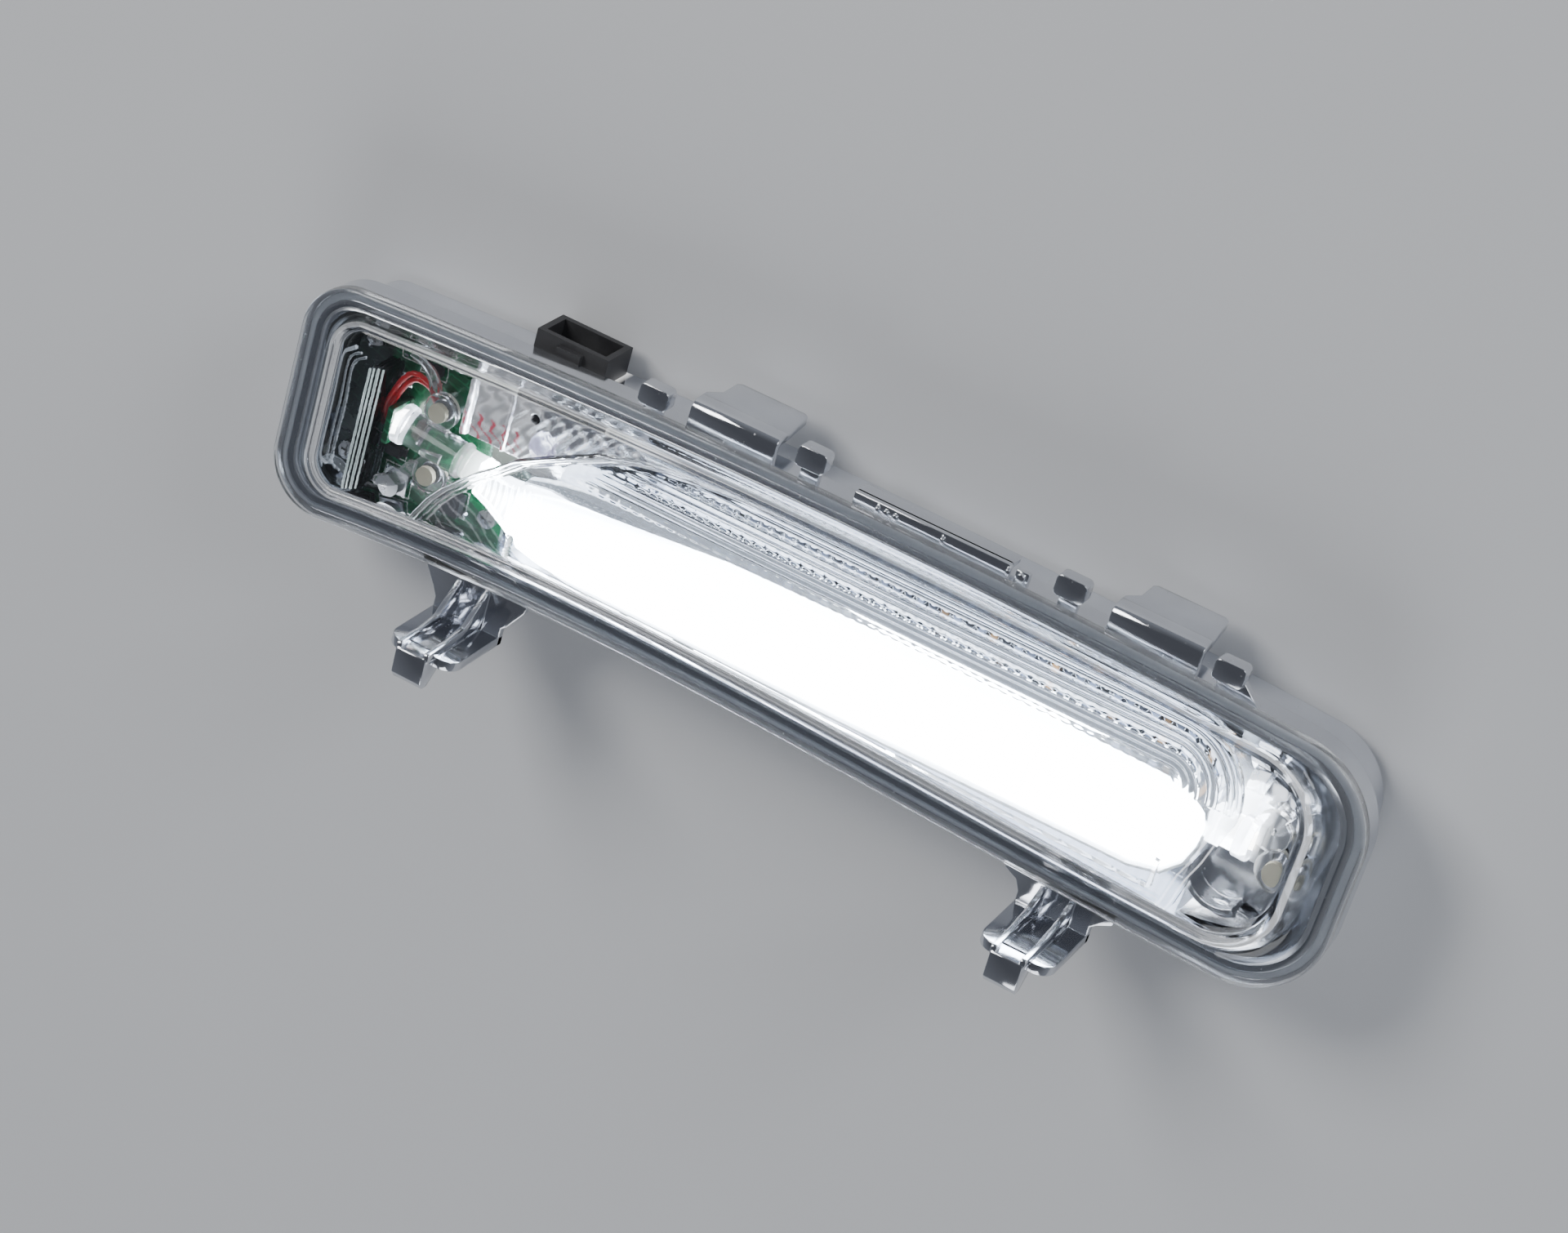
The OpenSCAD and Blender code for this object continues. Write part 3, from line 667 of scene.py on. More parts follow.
class PieceMaker:
    """Gathers a piece's mesh in the lamp's millimetres and places it in the scene."""

    def __init__(self, name: str, finish: Finish, slot: str) -> None:
        """Starts an empty piece.

        Args:
            name: Name of the piece.
            finish: Its finish.
            slot: Name of the record's material slot for the piece; kept on the piece but not used.
        """
        self.name = name
        self.finish = finish
        self.slot = slot
        self.mesh = bmesh.new()
        # Painted light as an emission colour and painted shade as a share of darkening, per point.
        self.painted_light = self.mesh.verts.layers.float_color.new(PAINTED_LIGHT)
        self.painted_shade = self.mesh.verts.layers.float.new(PAINTED_SHADE)
        self.toned = False

    def box(self, lo: Point, hi: Point) -> None:
        """Adds a block.

        Args:
            lo: Its lowest corner.
            hi: Its highest corner.
        """
        self.prism([(lo[0], lo[1]), (hi[0], lo[1]), (hi[0], hi[1]), (lo[0], hi[1])], lo[2], hi[2])

    def prism(self, outline: list[Flat], start: float, end: float, axis: int = 2) -> None:
        """Adds a prism along an axis.

        Args:
            outline: Its outline across the axis, the lower axis first.
            start: Where it starts on the axis.
            end: Where it ends on the axis.
            axis: The axis, 0 for x, 1 for y and 2 for z.
        """
        self.rings([[(*p[:axis], end_at, *p[axis:]) for p in outline] for end_at in (start, end)])

    def tube(self, line: list[Vector], radii: list[float], sides: int = 16) -> None:
        """Adds a round tube along a line, closed at both ends.

        Args:
            line: The points that it follows.
            radii: Its radius at each point.
            sides: How many sides its section has.
        """
        loops = []
        across = UP
        for i, point in enumerate(line):
            way = (line[min(i + 1, len(line) - 1)] - line[max(i - 1, 0)]).normalized()
            side = across - way * across.dot(way)
            across = (side if side.length > 1e-6 else way.orthogonal()).normalized()
            loops.append(circle(point, across, way.cross(across), radii[i], sides))
        self.rings(loops)

    def turned(self, section: list[tuple[Vector, float]], side: Vector, other: Vector, sides: int) -> None:
        """Adds a body turned round an axis.

        Args:
            section: Middle and radius of each circle of its skin, and the first one again.
            side: Unit vector at right angles to the axis.
            other: Unit vector at right angles to the axis and to ``side``.
            sides: How many sides it has.
        """
        loops = [circle(middle, side, other, radius, sides) for middle, radius in section]
        self.rings(loops, close_ends=False)

    def rings(self, loops: list[list[Point]], close_ends: bool = True) -> list[list[bmesh.types.BMVert]]:
        """Adds a skin through closed loops of as many points each.

        Args:
            loops: The loops, in order.
            close_ends: Whether the first and the last loop get a face each.

        Returns:
            The points made, loop by loop.
        """
        made = [[self.mesh.verts.new(p) for p in loop] for loop in loops]
        if close_ends:
            self.mesh.faces.new(made[0][::-1])
            self.mesh.faces.new(made[-1])
        count = len(loops[0])
        for a, b in zip(made, made[1:]):
            for k in range(count):
                m = (k + 1) % count
                self.mesh.faces.new((a[k], a[m], b[m], b[k]))
        return made

    def tone(self, rule: Callable[[float, float, float], tuple[Colour, float]]) -> None:
        """Stores every point's painted light and painted shade.

        Args:
            rule: Gives both from the point's place on the lamp.
        """
        self.toned = True
        for vert in self.mesh.verts:
            light, dark = rule(*vert.co)
            vert[self.painted_light] = (*light, 1.0)
            vert[self.painted_shade] = dark

    def close_below(self, height: float) -> None:
        """Adds the walls and the flat underside of an open skin.

        Args:
            height: Where the underside lies.
        """
        rim = [e for e in self.mesh.edges if e.is_boundary]
        for part in bmesh.ops.extrude_edge_only(self.mesh, edges=rim)["geom"]:
            if isinstance(part, bmesh.types.BMVert):
                part.co.z = height
        bmesh.ops.contextual_create(self.mesh, geom=[e for e in self.mesh.edges if e.is_boundary])

    def place(self, bevel_mm: float = 0.0, smooth_deg: float = 35.0,
              replaces: tuple[str, ...] = ()) -> bpy.types.Object:
        """Puts the finished piece into the scene.

        Args:
            bevel_mm: Radius that its sharp edges get.
            smooth_deg: Edges flatter than this are shaded smooth.
            replaces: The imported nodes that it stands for.

        Returns:
            The piece.
        """
        bmesh.ops.recalc_face_normals(self.mesh, faces=self.mesh.faces)
        if not self.toned:
            self.tone(lambda x, y, z: (UNLIT, 0.0))
        for vert in self.mesh.verts:
            vert.co = LAMP.at(*vert.co)
        data = bpy.data.meshes.new(self.name)
        self.mesh.to_mesh(data)
        self.mesh.free()
        piece = stand(self.name, data)
        if bevel_mm:
            edge = piece.modifiers.new("rounding", "BEVEL")
            edge.width = bevel_mm * MM
            edge.segments = 2
            edge.limit_method = "ANGLE"
            edge.use_clamp_overlap = True
            settle(piece)
        piece.data.shade_smooth()
        piece.data.set_sharp_from_angle(angle=math.radians(smooth_deg))
        piece.data.materials.clear()
        piece.data.materials.append(self.finish.material())
        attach(piece, "root")
        if replaces:
            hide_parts(*replaces)
        LOG.info("%s: %d faces", self.name, len(piece.data.polygons))
        return piece


@dataclass(frozen=True)
class LampOutline:
    """Outline of the lamp seen along z."""

    half: float = 130.0
    top: float = 28.0
    bottom: float = -32.5
    cove: Point = (5.5, 6.6, 4.0)
    left_round: float = 13.0
    upper_round: float = 20.0
    lower_round: float = 19.8
    arc_steps: int = 20
    bow_steps: int = 48

    @staticmethod
    def arc(centre: Flat, radius: float, start: float, end: float, steps: int) -> list[Flat]:
        """Gives the points of an arc.

        Args:
            centre: Its centre.
            radius: Its radius.
            start: Angle of its first point, in degrees.
            end: Angle of its last point, in degrees.
            steps: How many steps it takes.

        Returns:
            The points.
        """
        angles = [math.radians(start + (end - start) * i / steps) for i in range(steps + 1)]
        return [(centre[0] + radius * math.cos(a), centre[1] + radius * math.sin(a)) for a in angles]

    @staticmethod
    def bow(a: Flat, b: Flat, rise: float, steps: int, lean: float = 0.0) -> list[Flat]:
        """Gives the inner points of a shallow bow from a to b.

        Args:
            a: Where it starts.
            b: Where it ends.
            rise: Its rise.
            steps: How many steps it takes.
            lean: How much more it rises towards b.

        Returns:
            The points between a and b.
        """
        return [(a[0] + (b[0] - a[0]) * t, a[1] + (b[1] - a[1]) * t + 4 * (rise + lean * t) * t * (1 - t))
                for t in (i / steps for i in range(1, steps))]

    def ring(self, inset: float, more: float = 0.0) -> list[Flat]:
        """Gives the outline moved in.

        Args:
            inset: How far it is moved in all round.
            more: Share of the cove by which each side is moved in further.

        Returns:
            Its points, clockwise from above.
        """
        left, right, low = (more * c for c in self.cove)
        tl = (-self.half + self.left_round + left, self.top - 15)
        tr = (self.half - self.upper_round - right, self.top - 20.8)
        br = (self.half - 20.1 - right, self.bottom + 20.4 + low)
        bl = (-self.half + self.left_round + left, self.bottom + 15.3 + low)
        n, m = self.arc_steps, self.bow_steps
        near, upper, lower = (r - inset for r in (self.left_round, self.upper_round, self.lower_round))
        return (self.arc(tl, near, 180, 90, n)
                + self.bow((tl[0], tl[1] + near), (tr[0], tr[1] + upper), 3.5, m)
                + self.arc(tr, upper, 90, -1, n + 4)
                + self.arc(br, lower, -1, -90, n + 2)
                + self.bow((br[0], br[1] - lower), (bl[0], bl[1] - near), 0.9, m, 6.0)
                + self.arc(bl, near, -90, -180, n))


OUTLINE = LampOutline()


def smooth_profile(points: list[Point], steps: int) -> list[Point]:
    """Rounds a profile by a spline through its points.

    Args:
        points: The profile's points.
        steps: How many steps each stretch gets.

    Returns:
        The finer profile.
    """
    fine: list[Point] = []
    for i in range(len(points) - 1):
        around = [Vector(points[min(max(i + k, 0), len(points) - 1)]) for k in (-1, 0, 1, 2)]
        for step in range(steps):
            t = step / steps
            fine.append(tuple(0.5 * ((2 * around[1]) + (around[2] - around[0]) * t
                              + (2 * around[0] - 5 * around[1] + 4 * around[2] - around[3]) * t * t
                              + (3 * around[1] - around[0] - 3 * around[2] + around[3]) * t ** 3)))
    return fine + [tuple(points[-1])]


@dataclass
class PlatedHousing:
    """Metallised housing: flanged tray, snap hooks, tongues, tabs, rail and back ribs."""

    flange: float = -3.0
    back: float = -24.0
    tuck: float = 0.6
    rail_at: float = 21.5
    gusset_at: float = 91.0
    hooks: tuple[Point, ...] = ((-75.3, -26.4, -45.3), (72.4, -30.0, -45.6))
    hook_top: float = 20.4
    hook_half: float = 8.7
    tongue_half: float = 10.5
    tongues: tuple[float, ...] = (-27.0, 73.8)
    tabs: Line = ((-45.8, 6.0), (-7.8, 8.0), (54.0, 7.4), (91.0, 7.0))
    pillars: tuple[tuple[float, float, float, float], ...] = (
        (-117.6, -17.0, -15.0, 2.7), (-80.0, -16.6, -15.0, 2.7), (-66.0, 13.0, -15.0, 2.7),
        (-117.0, 12.4, -15.0, 2.7), (-95.3, 4.6, -9.2, 2.7), (-94.6, -10.8, -9.2, 2.7),
        (113.3, -6.5, -9.2, 2.7), (-51.0, -6.7, -13.2, 3.2), (14.0, -6.7, -13.2, 3.2),
        (83.0, -6.7, -13.2, 3.2), (100.0, 10.0, -14.6, 2.7), (117.0, 3.0, -14.6, 2.7),
        (101.0, -19.0, -14.6, 2.7))

    def shelf_line(self, x: float) -> float:
        """Gives the line inside the outline's upper edge where the shelves start.

        Args:
            x: Place along the lamp.

        Returns:
            Its y there.
        """
        t = (x + 117) / 227
        return 26 + 1.2 * t + 14 * t * (1 - t) - self.tuck

    def tray(self) -> bpy.types.Object:
        """Builds the flanged tray with the way through for the connector.

        Returns:
            The piece.
        """
        maker = PieceMaker("housing_tray", Finish.PLATED_BODY, "plated_body")
        f = self.flange
        path = [(6.2, self.back + 2), (6.2, f), (3, f), (3, f - 1), (1.5, f - 1), (1.5, f), (0.45, f),
                (0.25, f - 0.2), (0.25, f - 6.0), (0.45, f - 6.2), (2, f - 6.2), (2, f - 2.2),
                (4.2, f - 2.2), (4.2, self.back + 0.8), (5, self.back)]
        maker.rings([[(x, y, z) for x, y in OUTLINE.ring(d)] for d, z in path])
        piece = maker.place(smooth_deg=40.0, replaces=("housing",))
        lo, hi = LAMP.at(-80.2, 14, -22.8), LAMP.at(-61.8, 40, -11.4)
        box = bpy.data.meshes.new("way")
        box.from_pydata([(x, y, z) for x in (lo.x, hi.x) for y in (lo.y, hi.y) for z in (lo.z, hi.z)], [],
                        [(0, 1, 3, 2), (4, 6, 7, 5), (0, 4, 5, 1), (2, 3, 7, 6), (0, 2, 6, 4), (1, 5, 7, 3)])
        cutter = stand("way", box)
        cut = piece.modifiers.new("way", "BOOLEAN")
        cut.object, cut.operation, cut.solver = cutter, "DIFFERENCE", "EXACT"
        settle(piece)
        bpy.data.objects.remove(cutter)
        bpy.data.meshes.remove(box)
        return piece

    def hook(self, maker: PieceMaker, x: float, ye: float, tip: float) -> None:
        """Adds a snap hook: flared foot, standing plate, two ribs and a barbed head.

        Args:
            maker: The piece that gets it.
            x: Its middle along the lamp.
            ye: Where the rim's edge lies.
            tip: How far its barb reaches.
        """
        yl, hw = tip + 7.4, self.hook_half
        foot, top = self.flange - 2, self.hook_top
        maker.prism([(x - 13.3, ye + 0.3), (x - 13.1, ye - 2), (x - 9.9, yl + 4.6), (x - hw, yl + 2.2),
                     (x - hw, yl - 2.4), (x + hw, yl - 2.4), (x + hw, yl + 2.2), (x + 9.9, yl + 3.2),
                     (x + 13.1, ye - 3.4), (x + 13.9, ye + 0.3)], foot, foot + 2)
        crown = OUTLINE.arc((x + 4.7, top - 8), 4, 0, 90, 8) + OUTLINE.arc((x - 4.7, top - 8), 4, 90, 180, 8)
        maker.prism([(x - hw, foot), (x + hw, foot)] + crown, yl - 2.4, yl, 1)
        for side in (-4.1, 2.8):
            maker.prism([(ye - 2.2, foot + 1.6), (ye - 2.2, foot + 3), (yl + 3.1, 5.2), (yl + 2.2, 12),
                         (yl + 1.9, top - 0.9), (yl + 1.4, top - 0.4), (yl - 0.4, top - 0.4),
                         (yl - 0.4, foot + 1.6)], x + side, x + side + 1.3, 0)
        maker.prism([(yl - 0.4, top - 6.6), (yl + 1.3, top - 3.6), (yl + 0.5, top - 0.2), (yl - 0.1, top),
                     (yl - 5.8, top - 0.3), (tip, top - 1.7), (tip, top - 3.6), (yl - 2.2, top - 8.6)],
                    x - 3.8, x + 3.8, 0)

    def tongue(self, maker: PieceMaker, x: float) -> None:
        """Adds a tongue: short shelf, round bend and a long plate going down.

        Args:
            maker: The piece that gets it.
            x: Its middle along the lamp.
        """
        ye, zt, hw = self.shelf_line(x), self.flange, self.tongue_half
        yo = ye + 6.5
        maker.prism([(ye - 0.3, zt - 2), (ye - 0.3, zt)] + OUTLINE.arc((yo - 2.4, zt - 2.4), 2.4, 90, 0, 8)
                    + [(yo, zt - 5), (yo - 2, zt - 5)] + OUTLINE.arc((yo - 2.6, zt - 2.6), 0.6, 0, 90, 4),
                    x - hw, x + hw, 0)
        maker.prism([(x - hw, zt - 4.8), (x - hw, zt - 6.5), (x - hw + 2.4, zt - 9.5),
                     (x - hw + 2.4, -19), (x - hw + 3.4, -20), (x + hw - 2, -20), (x + hw - 1, -19),
                     (x + hw, zt - 4.8)], yo - 2, yo, 1)

    def fittings(self) -> bpy.types.Object:
        """Builds everything that stands on the tray.

        Returns:
            The piece.
        """
        maker = PieceMaker("housing_fittings", Finish.PLATED_BODY, "plated_body")
        f = self.flange
        for x, ye, tip in self.hooks:
            self.hook(maker, x, ye, tip)
        for x in self.tongues:
            self.tongue(maker, x)
        for x, out in self.tabs:
            ye = self.shelf_line(x)
            y = ye + out - 2
            maker.box((x - 2.2, ye - 0.3, f - 2), (x + 2.2, ye + out - 3, f))
            corners = ((2.3, 1.2, 90), (2.3, -1.3, 0), (-2.3, -1.3, -90), (-2.3, 1.2, 180))
            maker.prism([p for dx, dy, turn in corners
                         for p in OUTLINE.arc((x + dx, y + dy), 1.2, turn, turn - 90, 5)], f - 2.6, f + 1.4)
        rx, ry = self.rail_at, self.shelf_line(self.rail_at)
        maker.box((rx - 18.5, ry - 0.3, f - 2), (rx + 18.5, ry + 3.4, f))
        maker.box((rx - 18.5, ry + 1.8, f - 6), (rx + 18.5, ry + 3.4, f - 1))
        for step in (-13, 2.5, 18):
            maker.prism([(ry + 1.1, f - 1), (ry + 1.1, f + 0.8), (ry + 2.4, f + 0.8), (ry + 3.4, f - 1)],
                        rx + step, rx + step + 0.9, 0)
        for step, radius, height in ((-10.6, 0.7, 0.7), (-8.4, 0.7, 0.7), (21.5, 1.0, 0.9)):
            line = [Vector((rx + step, ry + 1.9, f + h)) for h in (-1, height)]
            maker.tube(line, [radius] * 2, 20)
        maker.box((rx + 20, ry - 0.3, f - 2), (rx + 23, ry + 3.2, f))
        gx, gy = self.gusset_at, self.shelf_line(self.gusset_at)
        maker.prism([(gx + 2, gy - 0.9), (gx + 2, gy + 4.6), (gx + 3.4, gy + 4), (gx + 8.2, gy - 0.4),
                     (gx + 8.2, gy - 0.9)], f - 2, f)
        for y in (-13.0, 11.0):
            maker.box((-104, y - 0.9, self.back - 1.5), (104, y + 0.9, self.back + 0.5))
        for x in (-104.0, -56.0, 0.0, 56.0, 102.2):
            maker.box((x, -13, self.back - 1.5), (x + 1.8, 11, self.back + 0.5))
        for x, y, top, radius in self.pillars:
            maker.tube([Vector((x, y, self.back + 1.5)), Vector((x, y, top))], [radius] * 2, 28)
        return maker.place(bevel_mm=0.22, smooth_deg=40.0, replaces=("housing",))

    def seal(self) -> bpy.types.Object:
        """Builds the seal in its groove.

        Returns:
            The piece.
        """
        maker = PieceMaker("seal_ring", Finish.SEAL, "seal")
        path = [(1.55, -3.98), (1.55, -3.1), (1.7, -3.0), (2.8, -3.0), (2.95, -3.1), (2.95, -3.98),
                (1.55, -3.98)]
        maker.rings([[(x, y, z) for x, y in OUTLINE.ring(d)] for d, z in path], close_ends=False)
        bmesh.ops.remove_doubles(maker.mesh, verts=maker.mesh.verts, dist=0.001)
        return maker.place(smooth_deg=50.0, replaces=("seal_bead",))

    def build(self) -> None:
        """Builds the housing's pieces and its seal."""
        self.tray()
        self.fittings()
        self.seal()


@dataclass
class CoverShell:
    """Clear outer cover: flat rim, cove and crowned pane."""

    rim: float = 2.94
    crown: float = 4.0
    pane: float = 2.0
    land: float = 4.2

    def outer(self) -> list[Point]:
        """Gives the outside profile.

        Returns:
            Inset, share of the cove, and height of each point.
        """
        edge = [(0.1, 0, -self.rim), (0, 0, -self.rim + 0.12), (0, 0, -0.8), (0.08, 0, -0.45),
                (0.3, 0, -0.2), (0.8, 0, 0), (2.2, 0, 0)]
        cove = [(2.9, 0, 0), (3.1, 0.02, 0), (3.6, 0.3, 0.1), (3.9, 0.55, 0.35), (4.1, 0.7, 0.9),
                (4.3, 0.8, 1.8), (4.6, 0.9, 3), (5.2, 0.98, 3.75), (6.4, 1.03, 4.0), (12, 1.05, 4.3)]
        return edge + smooth_profile(cove, 5)

    def inner(self) -> list[Point]:
        """Gives the inside profile.

        Returns:
            Inset, share of the cove, and height of each point.
        """
        top = self.crown - self.pane
        return [(self.land + 0.4, 0, -self.rim)] + smooth_profile(
            [(4.9, 0.1, -1.2), (5.2, 0.5, -0.95), (5.6, 0.8, -0.3), (6.2, 0.95, 0.5 * top), (7.2, 1.05, top),
             (12, 1.06, top + 0.3)], 5)

    def build(self) -> bpy.types.Object:
        """Builds the cover.

        Returns:
            The piece.
        """
        maker = PieceMaker("cover_shell", Finish.COVER, "clear_cover")
        outside = self.outer()[::-1]
        made = maker.rings([[(x, y, z) for x, y in OUTLINE.ring(d, k)] for d, k, z in outside + self.inner()])
        maker.tone(lambda x, y, z: (UNLIT, 0.0))
        # Painted light and painted shade by profile line: glowing lines on the rim and at the crown's edge,
        # dark painted shade in the cove, and more painted light towards the right end, near the emitter.
        for loop, line in zip(made, outside):
            light, dark = self.band(*line)
            for vert in loop:
                ends = 0.45 + 0.55 * ramp(vert.co.x, 84, 26)
                vert[maker.painted_light] = (*(light * ends * share for share in (0.93, 0.96, 1.0)), 1.0)
                vert[maker.painted_shade] = dark * (0.7 + 0.3 * ends)
        return maker.place(smooth_deg=50.0, replaces=("outer_lens",))

    @staticmethod
    def band(inset: float, share: float, height: float) -> tuple[float, float]:
        """Gives the painted light and painted shade of one line of the outside profile.

        Args:
            inset: How far in the line lies.
            share: Share of the cove that it has gone through.
            height: Its height.

        Returns:
            How much painted light it gets and how much painted shade.
        """
        if inset > 7.0:
            return 0.0, 0.0
        if share > 0.85:
            return (0.55 if 2.8 < height < 3.8 else 0.0), 0.1
        if share > 0.1:
            return 0.02, 0.95 - 0.5 * max(0.0, share - 0.5)
        if height < -0.15:
            return 0.12 if -0.5 < height else 0.03, 0.25
        return 0.04, 0.3 + 0.12 * math.sin(9 * inset)


@dataclass
class OpticPlate:
    """Clear inner plate with its swept edge, flutes, prism rows and channel line."""

    low: float = -3.6
    thick: float = 2.0
    turn: Flat = (85.8, 4.0)
    reach: float = 17.2
    steps: tuple[int, int, int] = (330, 60, 96)
    flute_pitch: float = 1.45
    flute: float = 0.5
    sweep: Line = (
        (-94.4, -21.0), (-93.1, -17.4), (-90.6, -12.7), (-87.7, -8.8), (-84.6, -5.7), (-81.0, -2.1),
        (-77.7, 0.4), (-72.5, 5.0), (-66.9, 8.2), (-59.7, 12.0), (-53.6, 15.0), (-47.2, 17.0),
        (-38.0, 18.8), (-24.0, 20.4), (-8.0, 21.2))
    right_edge: Line = (
        (103.0, 4.0), (102.8, 1.6), (101.8, -1.2), (99.8, -9.0), (97.8, -14.2), (96.4, -21.0), (95.4, -24.2))
    lips: tuple[Point, ...] = ((0.95, 0.75, 0.6), (0.5, 2.0, 0.5), (0.3, 3.1, 0.4))
    channel: Line = ((-69.1, -17.7), (90.0, -19.4))
    prism_pitch: float = 2.9
    # Colours of the painted glints in the prism rows.
    warm_glint: Colour = (1.0, 0.62, 0.3)
    cool_glint: Colour = (0.5, 0.64, 1.0)
    rows: tuple[float, ...] = (3.0, 8.9, 13.1)
    rows_low: int = 84

    def channel_y(self, x: float) -> float:
        """Gives the middle of the channel line.

        Args:
            x: Place along the lamp.

        Returns:
            Its y there.
        """
        (x0, y0), (x1, y1) = self.channel
        return y0 + (y1 - y0) * (x - x0) / (x1 - x0)

    def rise(self, x: float, y: float, r: float, run: float, left: float) -> float:
        """Gives the height of the plate's relief.

        Args:
            x: Place along the lamp.
            y: Place across the lamp.
            r: Distance from the flutes' middle line.
            run: Length along the flutes.
            left: Where the swept edge lies on this row.

        Returns:
            Height over the plate's flat top.
        """
        inside = x - left
        lip = max(height * bead(inside - middle, half) for height, middle, half in self.lips)
        if r <= 0:
            (x0, y0), (x1, y1) = self.channel
            off = abs(y - self.channel_y(x))
            channel = 0.75 * max(0.0, 1 - off / 0.5) ** 0.5 if x0 < x < x1 else 0.0
            left_post = abs(x - x0) < 0.5 and y0 < y < -12.2
            right_post = abs(x - x1 - 0.4) < 0.5 and y1 < y < -12.6
            return max(lip, channel, 0.75 if left_post or right_post else 0.0)
        start = ramp(inside, 7.0, 10.0)
        band = ramp(r, 2.0, 0.8) * ramp(16.6 - r, 0.0, 0.6)
        wave = abs(math.sin(math.pi * r / self.flute_pitch)) ** 0.6
        height = self.flute * wave
        for middle in self.rows:
            if abs(r - middle) < 0.9:
                height = 0.42 * abs(math.sin(math.pi * run / self.prism_pitch)) ** 0.7
                height *= (1 - abs(r - middle)) ** 0.5
        return max(lip, start * band * height)

    def look(self, x: float, y: float, z: float) -> tuple[Colour, float]:
        """Gives the painted light and painted shade of a point on the plate.

        Args:
            x: Place along the lamp.
            y: Place across the lamp.
            z: Height over the rim's front plane.

        Returns:
            The colour of its painted light, and how much painted shade it gets.
        """
        cx, cy = self.turn
        relief = z - self.low - self.thick
        inside = x - read_line(self.sweep, y, 1)
        if relief < -0.5:
            return UNLIT, 0.0
        # Painted light on the swept edge's lips, with painted shade.
        if inside < 3.8:
            lit = 0.12 if relief > 0.8 else 0.3 if relief < 0.1 and 1.3 < inside else 0.02
            return (lit, lit, 1.04 * lit), 0.3
        r = y - cy if x < cx else math.hypot(x - cx, max(0.0, y - cy))
        run = x if x < cx else cx + r * math.atan2(x - cx, max(1e-6, y - cy))
        # Prism rows get painted glints, mostly cool and some warm; between them the flutes get painted
        # highlight lines and painted shade.
        if y > cy or x > cx and r > 9.0 and y > 0:
            for index, middle in enumerate(self.rows):
                if abs(r - middle) < 0.8:
                    cell = math.floor(run / self.prism_pitch)
                    lively = ramp(x, -40, 90, 0.15) * (0.5 + 0.5 * math.sin(cell * 2.3 + index))
                    lit = (1.15 if 0.25 < run / self.prism_pitch - cell < 0.8 else 0.05) * lively
                    orange = (cell * 37 + index * 5) % 9 in (2, 6) and x > 20
                    return tuple(c * lit for c in (self.warm_glint if orange else self.cool_glint)), 0.35
            line = abs(math.sin(math.pi * r / self.flute_pitch)) < 0.25
            lit = (0.3 if line else 0.0) * ramp(x, -70, 60, 0.3)
            return (0.93 * lit, 0.95 * lit, lit), 0.62 if inside > 8 else 0.4
        # Painted highlight on the raised channel line and its posts.
        if relief > 0.3:
            return (1.3, 1.35, 1.4), 0.0
        # Painted bright lines near the right edge and below the channel line, with painted shade.
        beyond = read_line(self.right_edge, y, 1) - x
        if y < cy and beyond < 3.4:
            lit = 0.9 if 0.4 < beyond < 0.9 or 2.4 < beyond < 2.8 else 0.03
            return (lit, lit, 1.03 * lit), 0.35
        if y < self.channel_y(x) - 0.6:
            lit = 0.5 if abs(y - self.channel_y(x) + 1.7) < 0.2 else 0.0
            return (lit, lit, lit), 0.4
        # Lower left: heavy painted shade with faint painted streaks.
        if x < -58 and y < -10.6 - 0.53 * (x + 77):
            streak = 0.16 if math.sin(1.25 * (x + 1.7 * y) + 1.6 * math.sin(0.5 * x)) > 0.8 else 0.03
            return (streak, streak, 1.04 * streak), 0.97
        # Upper part: painted shade that deepens upwards, with a few painted streaks.
        upper = -4.4 + 12.4 * ramp(x, -74, 96) ** 0.75
        if y > upper:
            streak = 0.35 if math.sin(9 * (y - upper)) > 0.93 else 0.0
            return (streak, streak, streak), min(0.9, 0.35 + 0.35 * (y - upper))
        return UNLIT, 0.0

    def build(self) -> bpy.types.Object:
        """Builds the plate.

        Returns:
            The piece.
        """
        maker = PieceMaker("optic_plate", Finish.OPTIC, "clear_optic")
        new = maker.mesh.verts.new
        top = self.low + self.thick
        cx, cy = self.turn
        straight, bend, radial = self.steps
        shares = [(i / straight) ** 1.15 for i in range(straight + 1)]
        first = read_line(self.sweep, cy, 1)
        middle = [new((x, cy, top + self.rise(x, cy, 0.0, x, first)))
                  for x in (first + (cx - first) * t for t in shares)]
        radii = [self.reach * j / radial for j in range(1, radial + 1)]
        spoke = [new((cx + r, cy, top + self.rise(cx, cy, r, cx + r * math.pi / 2, first))) for r in radii]
        below = middle + [middle[-1]] * bend
        for r, end in zip(radii, spoke):
            left = read_line(self.sweep, cy + r, 1)
            row = [new((x, cy + r, top + self.rise(x, cy + r, r, x, left)))
                   for x in (left + (cx - left) * t for t in shares)]
            for i in range(1, bend):
                a = math.pi / 2 * (1 - i / bend)
                height = top + self.rise(cx, cy, r, cx + r * (math.pi / 2 - a), left)
                row.append(new((cx + r * math.cos(a), cy + r * math.sin(a), height)))
            row.append(end)
            self.skin(maker, row, below)
            below = row
        above = middle + spoke
        xs = [v.co.x for v in above]
        for j in range(1, self.rows_low + 1):
            row = []
            for x0 in xs:
                t = (x0 - xs[0]) / (xs[-1] - xs[0])
                lowest = -21.0 - 3.2 * t + 13.6 * t * (1 - t)
                y = cy + (lowest - cy) * j / self.rows_low
                left, right = read_line(self.sweep, y, 1), read_line(self.right_edge, y, 1)
                x = left + (right - left) * t
                row.append(new((x, y, top + self.rise(x, y, 0.0, x, left))))
            self.skin(maker, above, row)
            above = row
        maker.close_below(self.low)
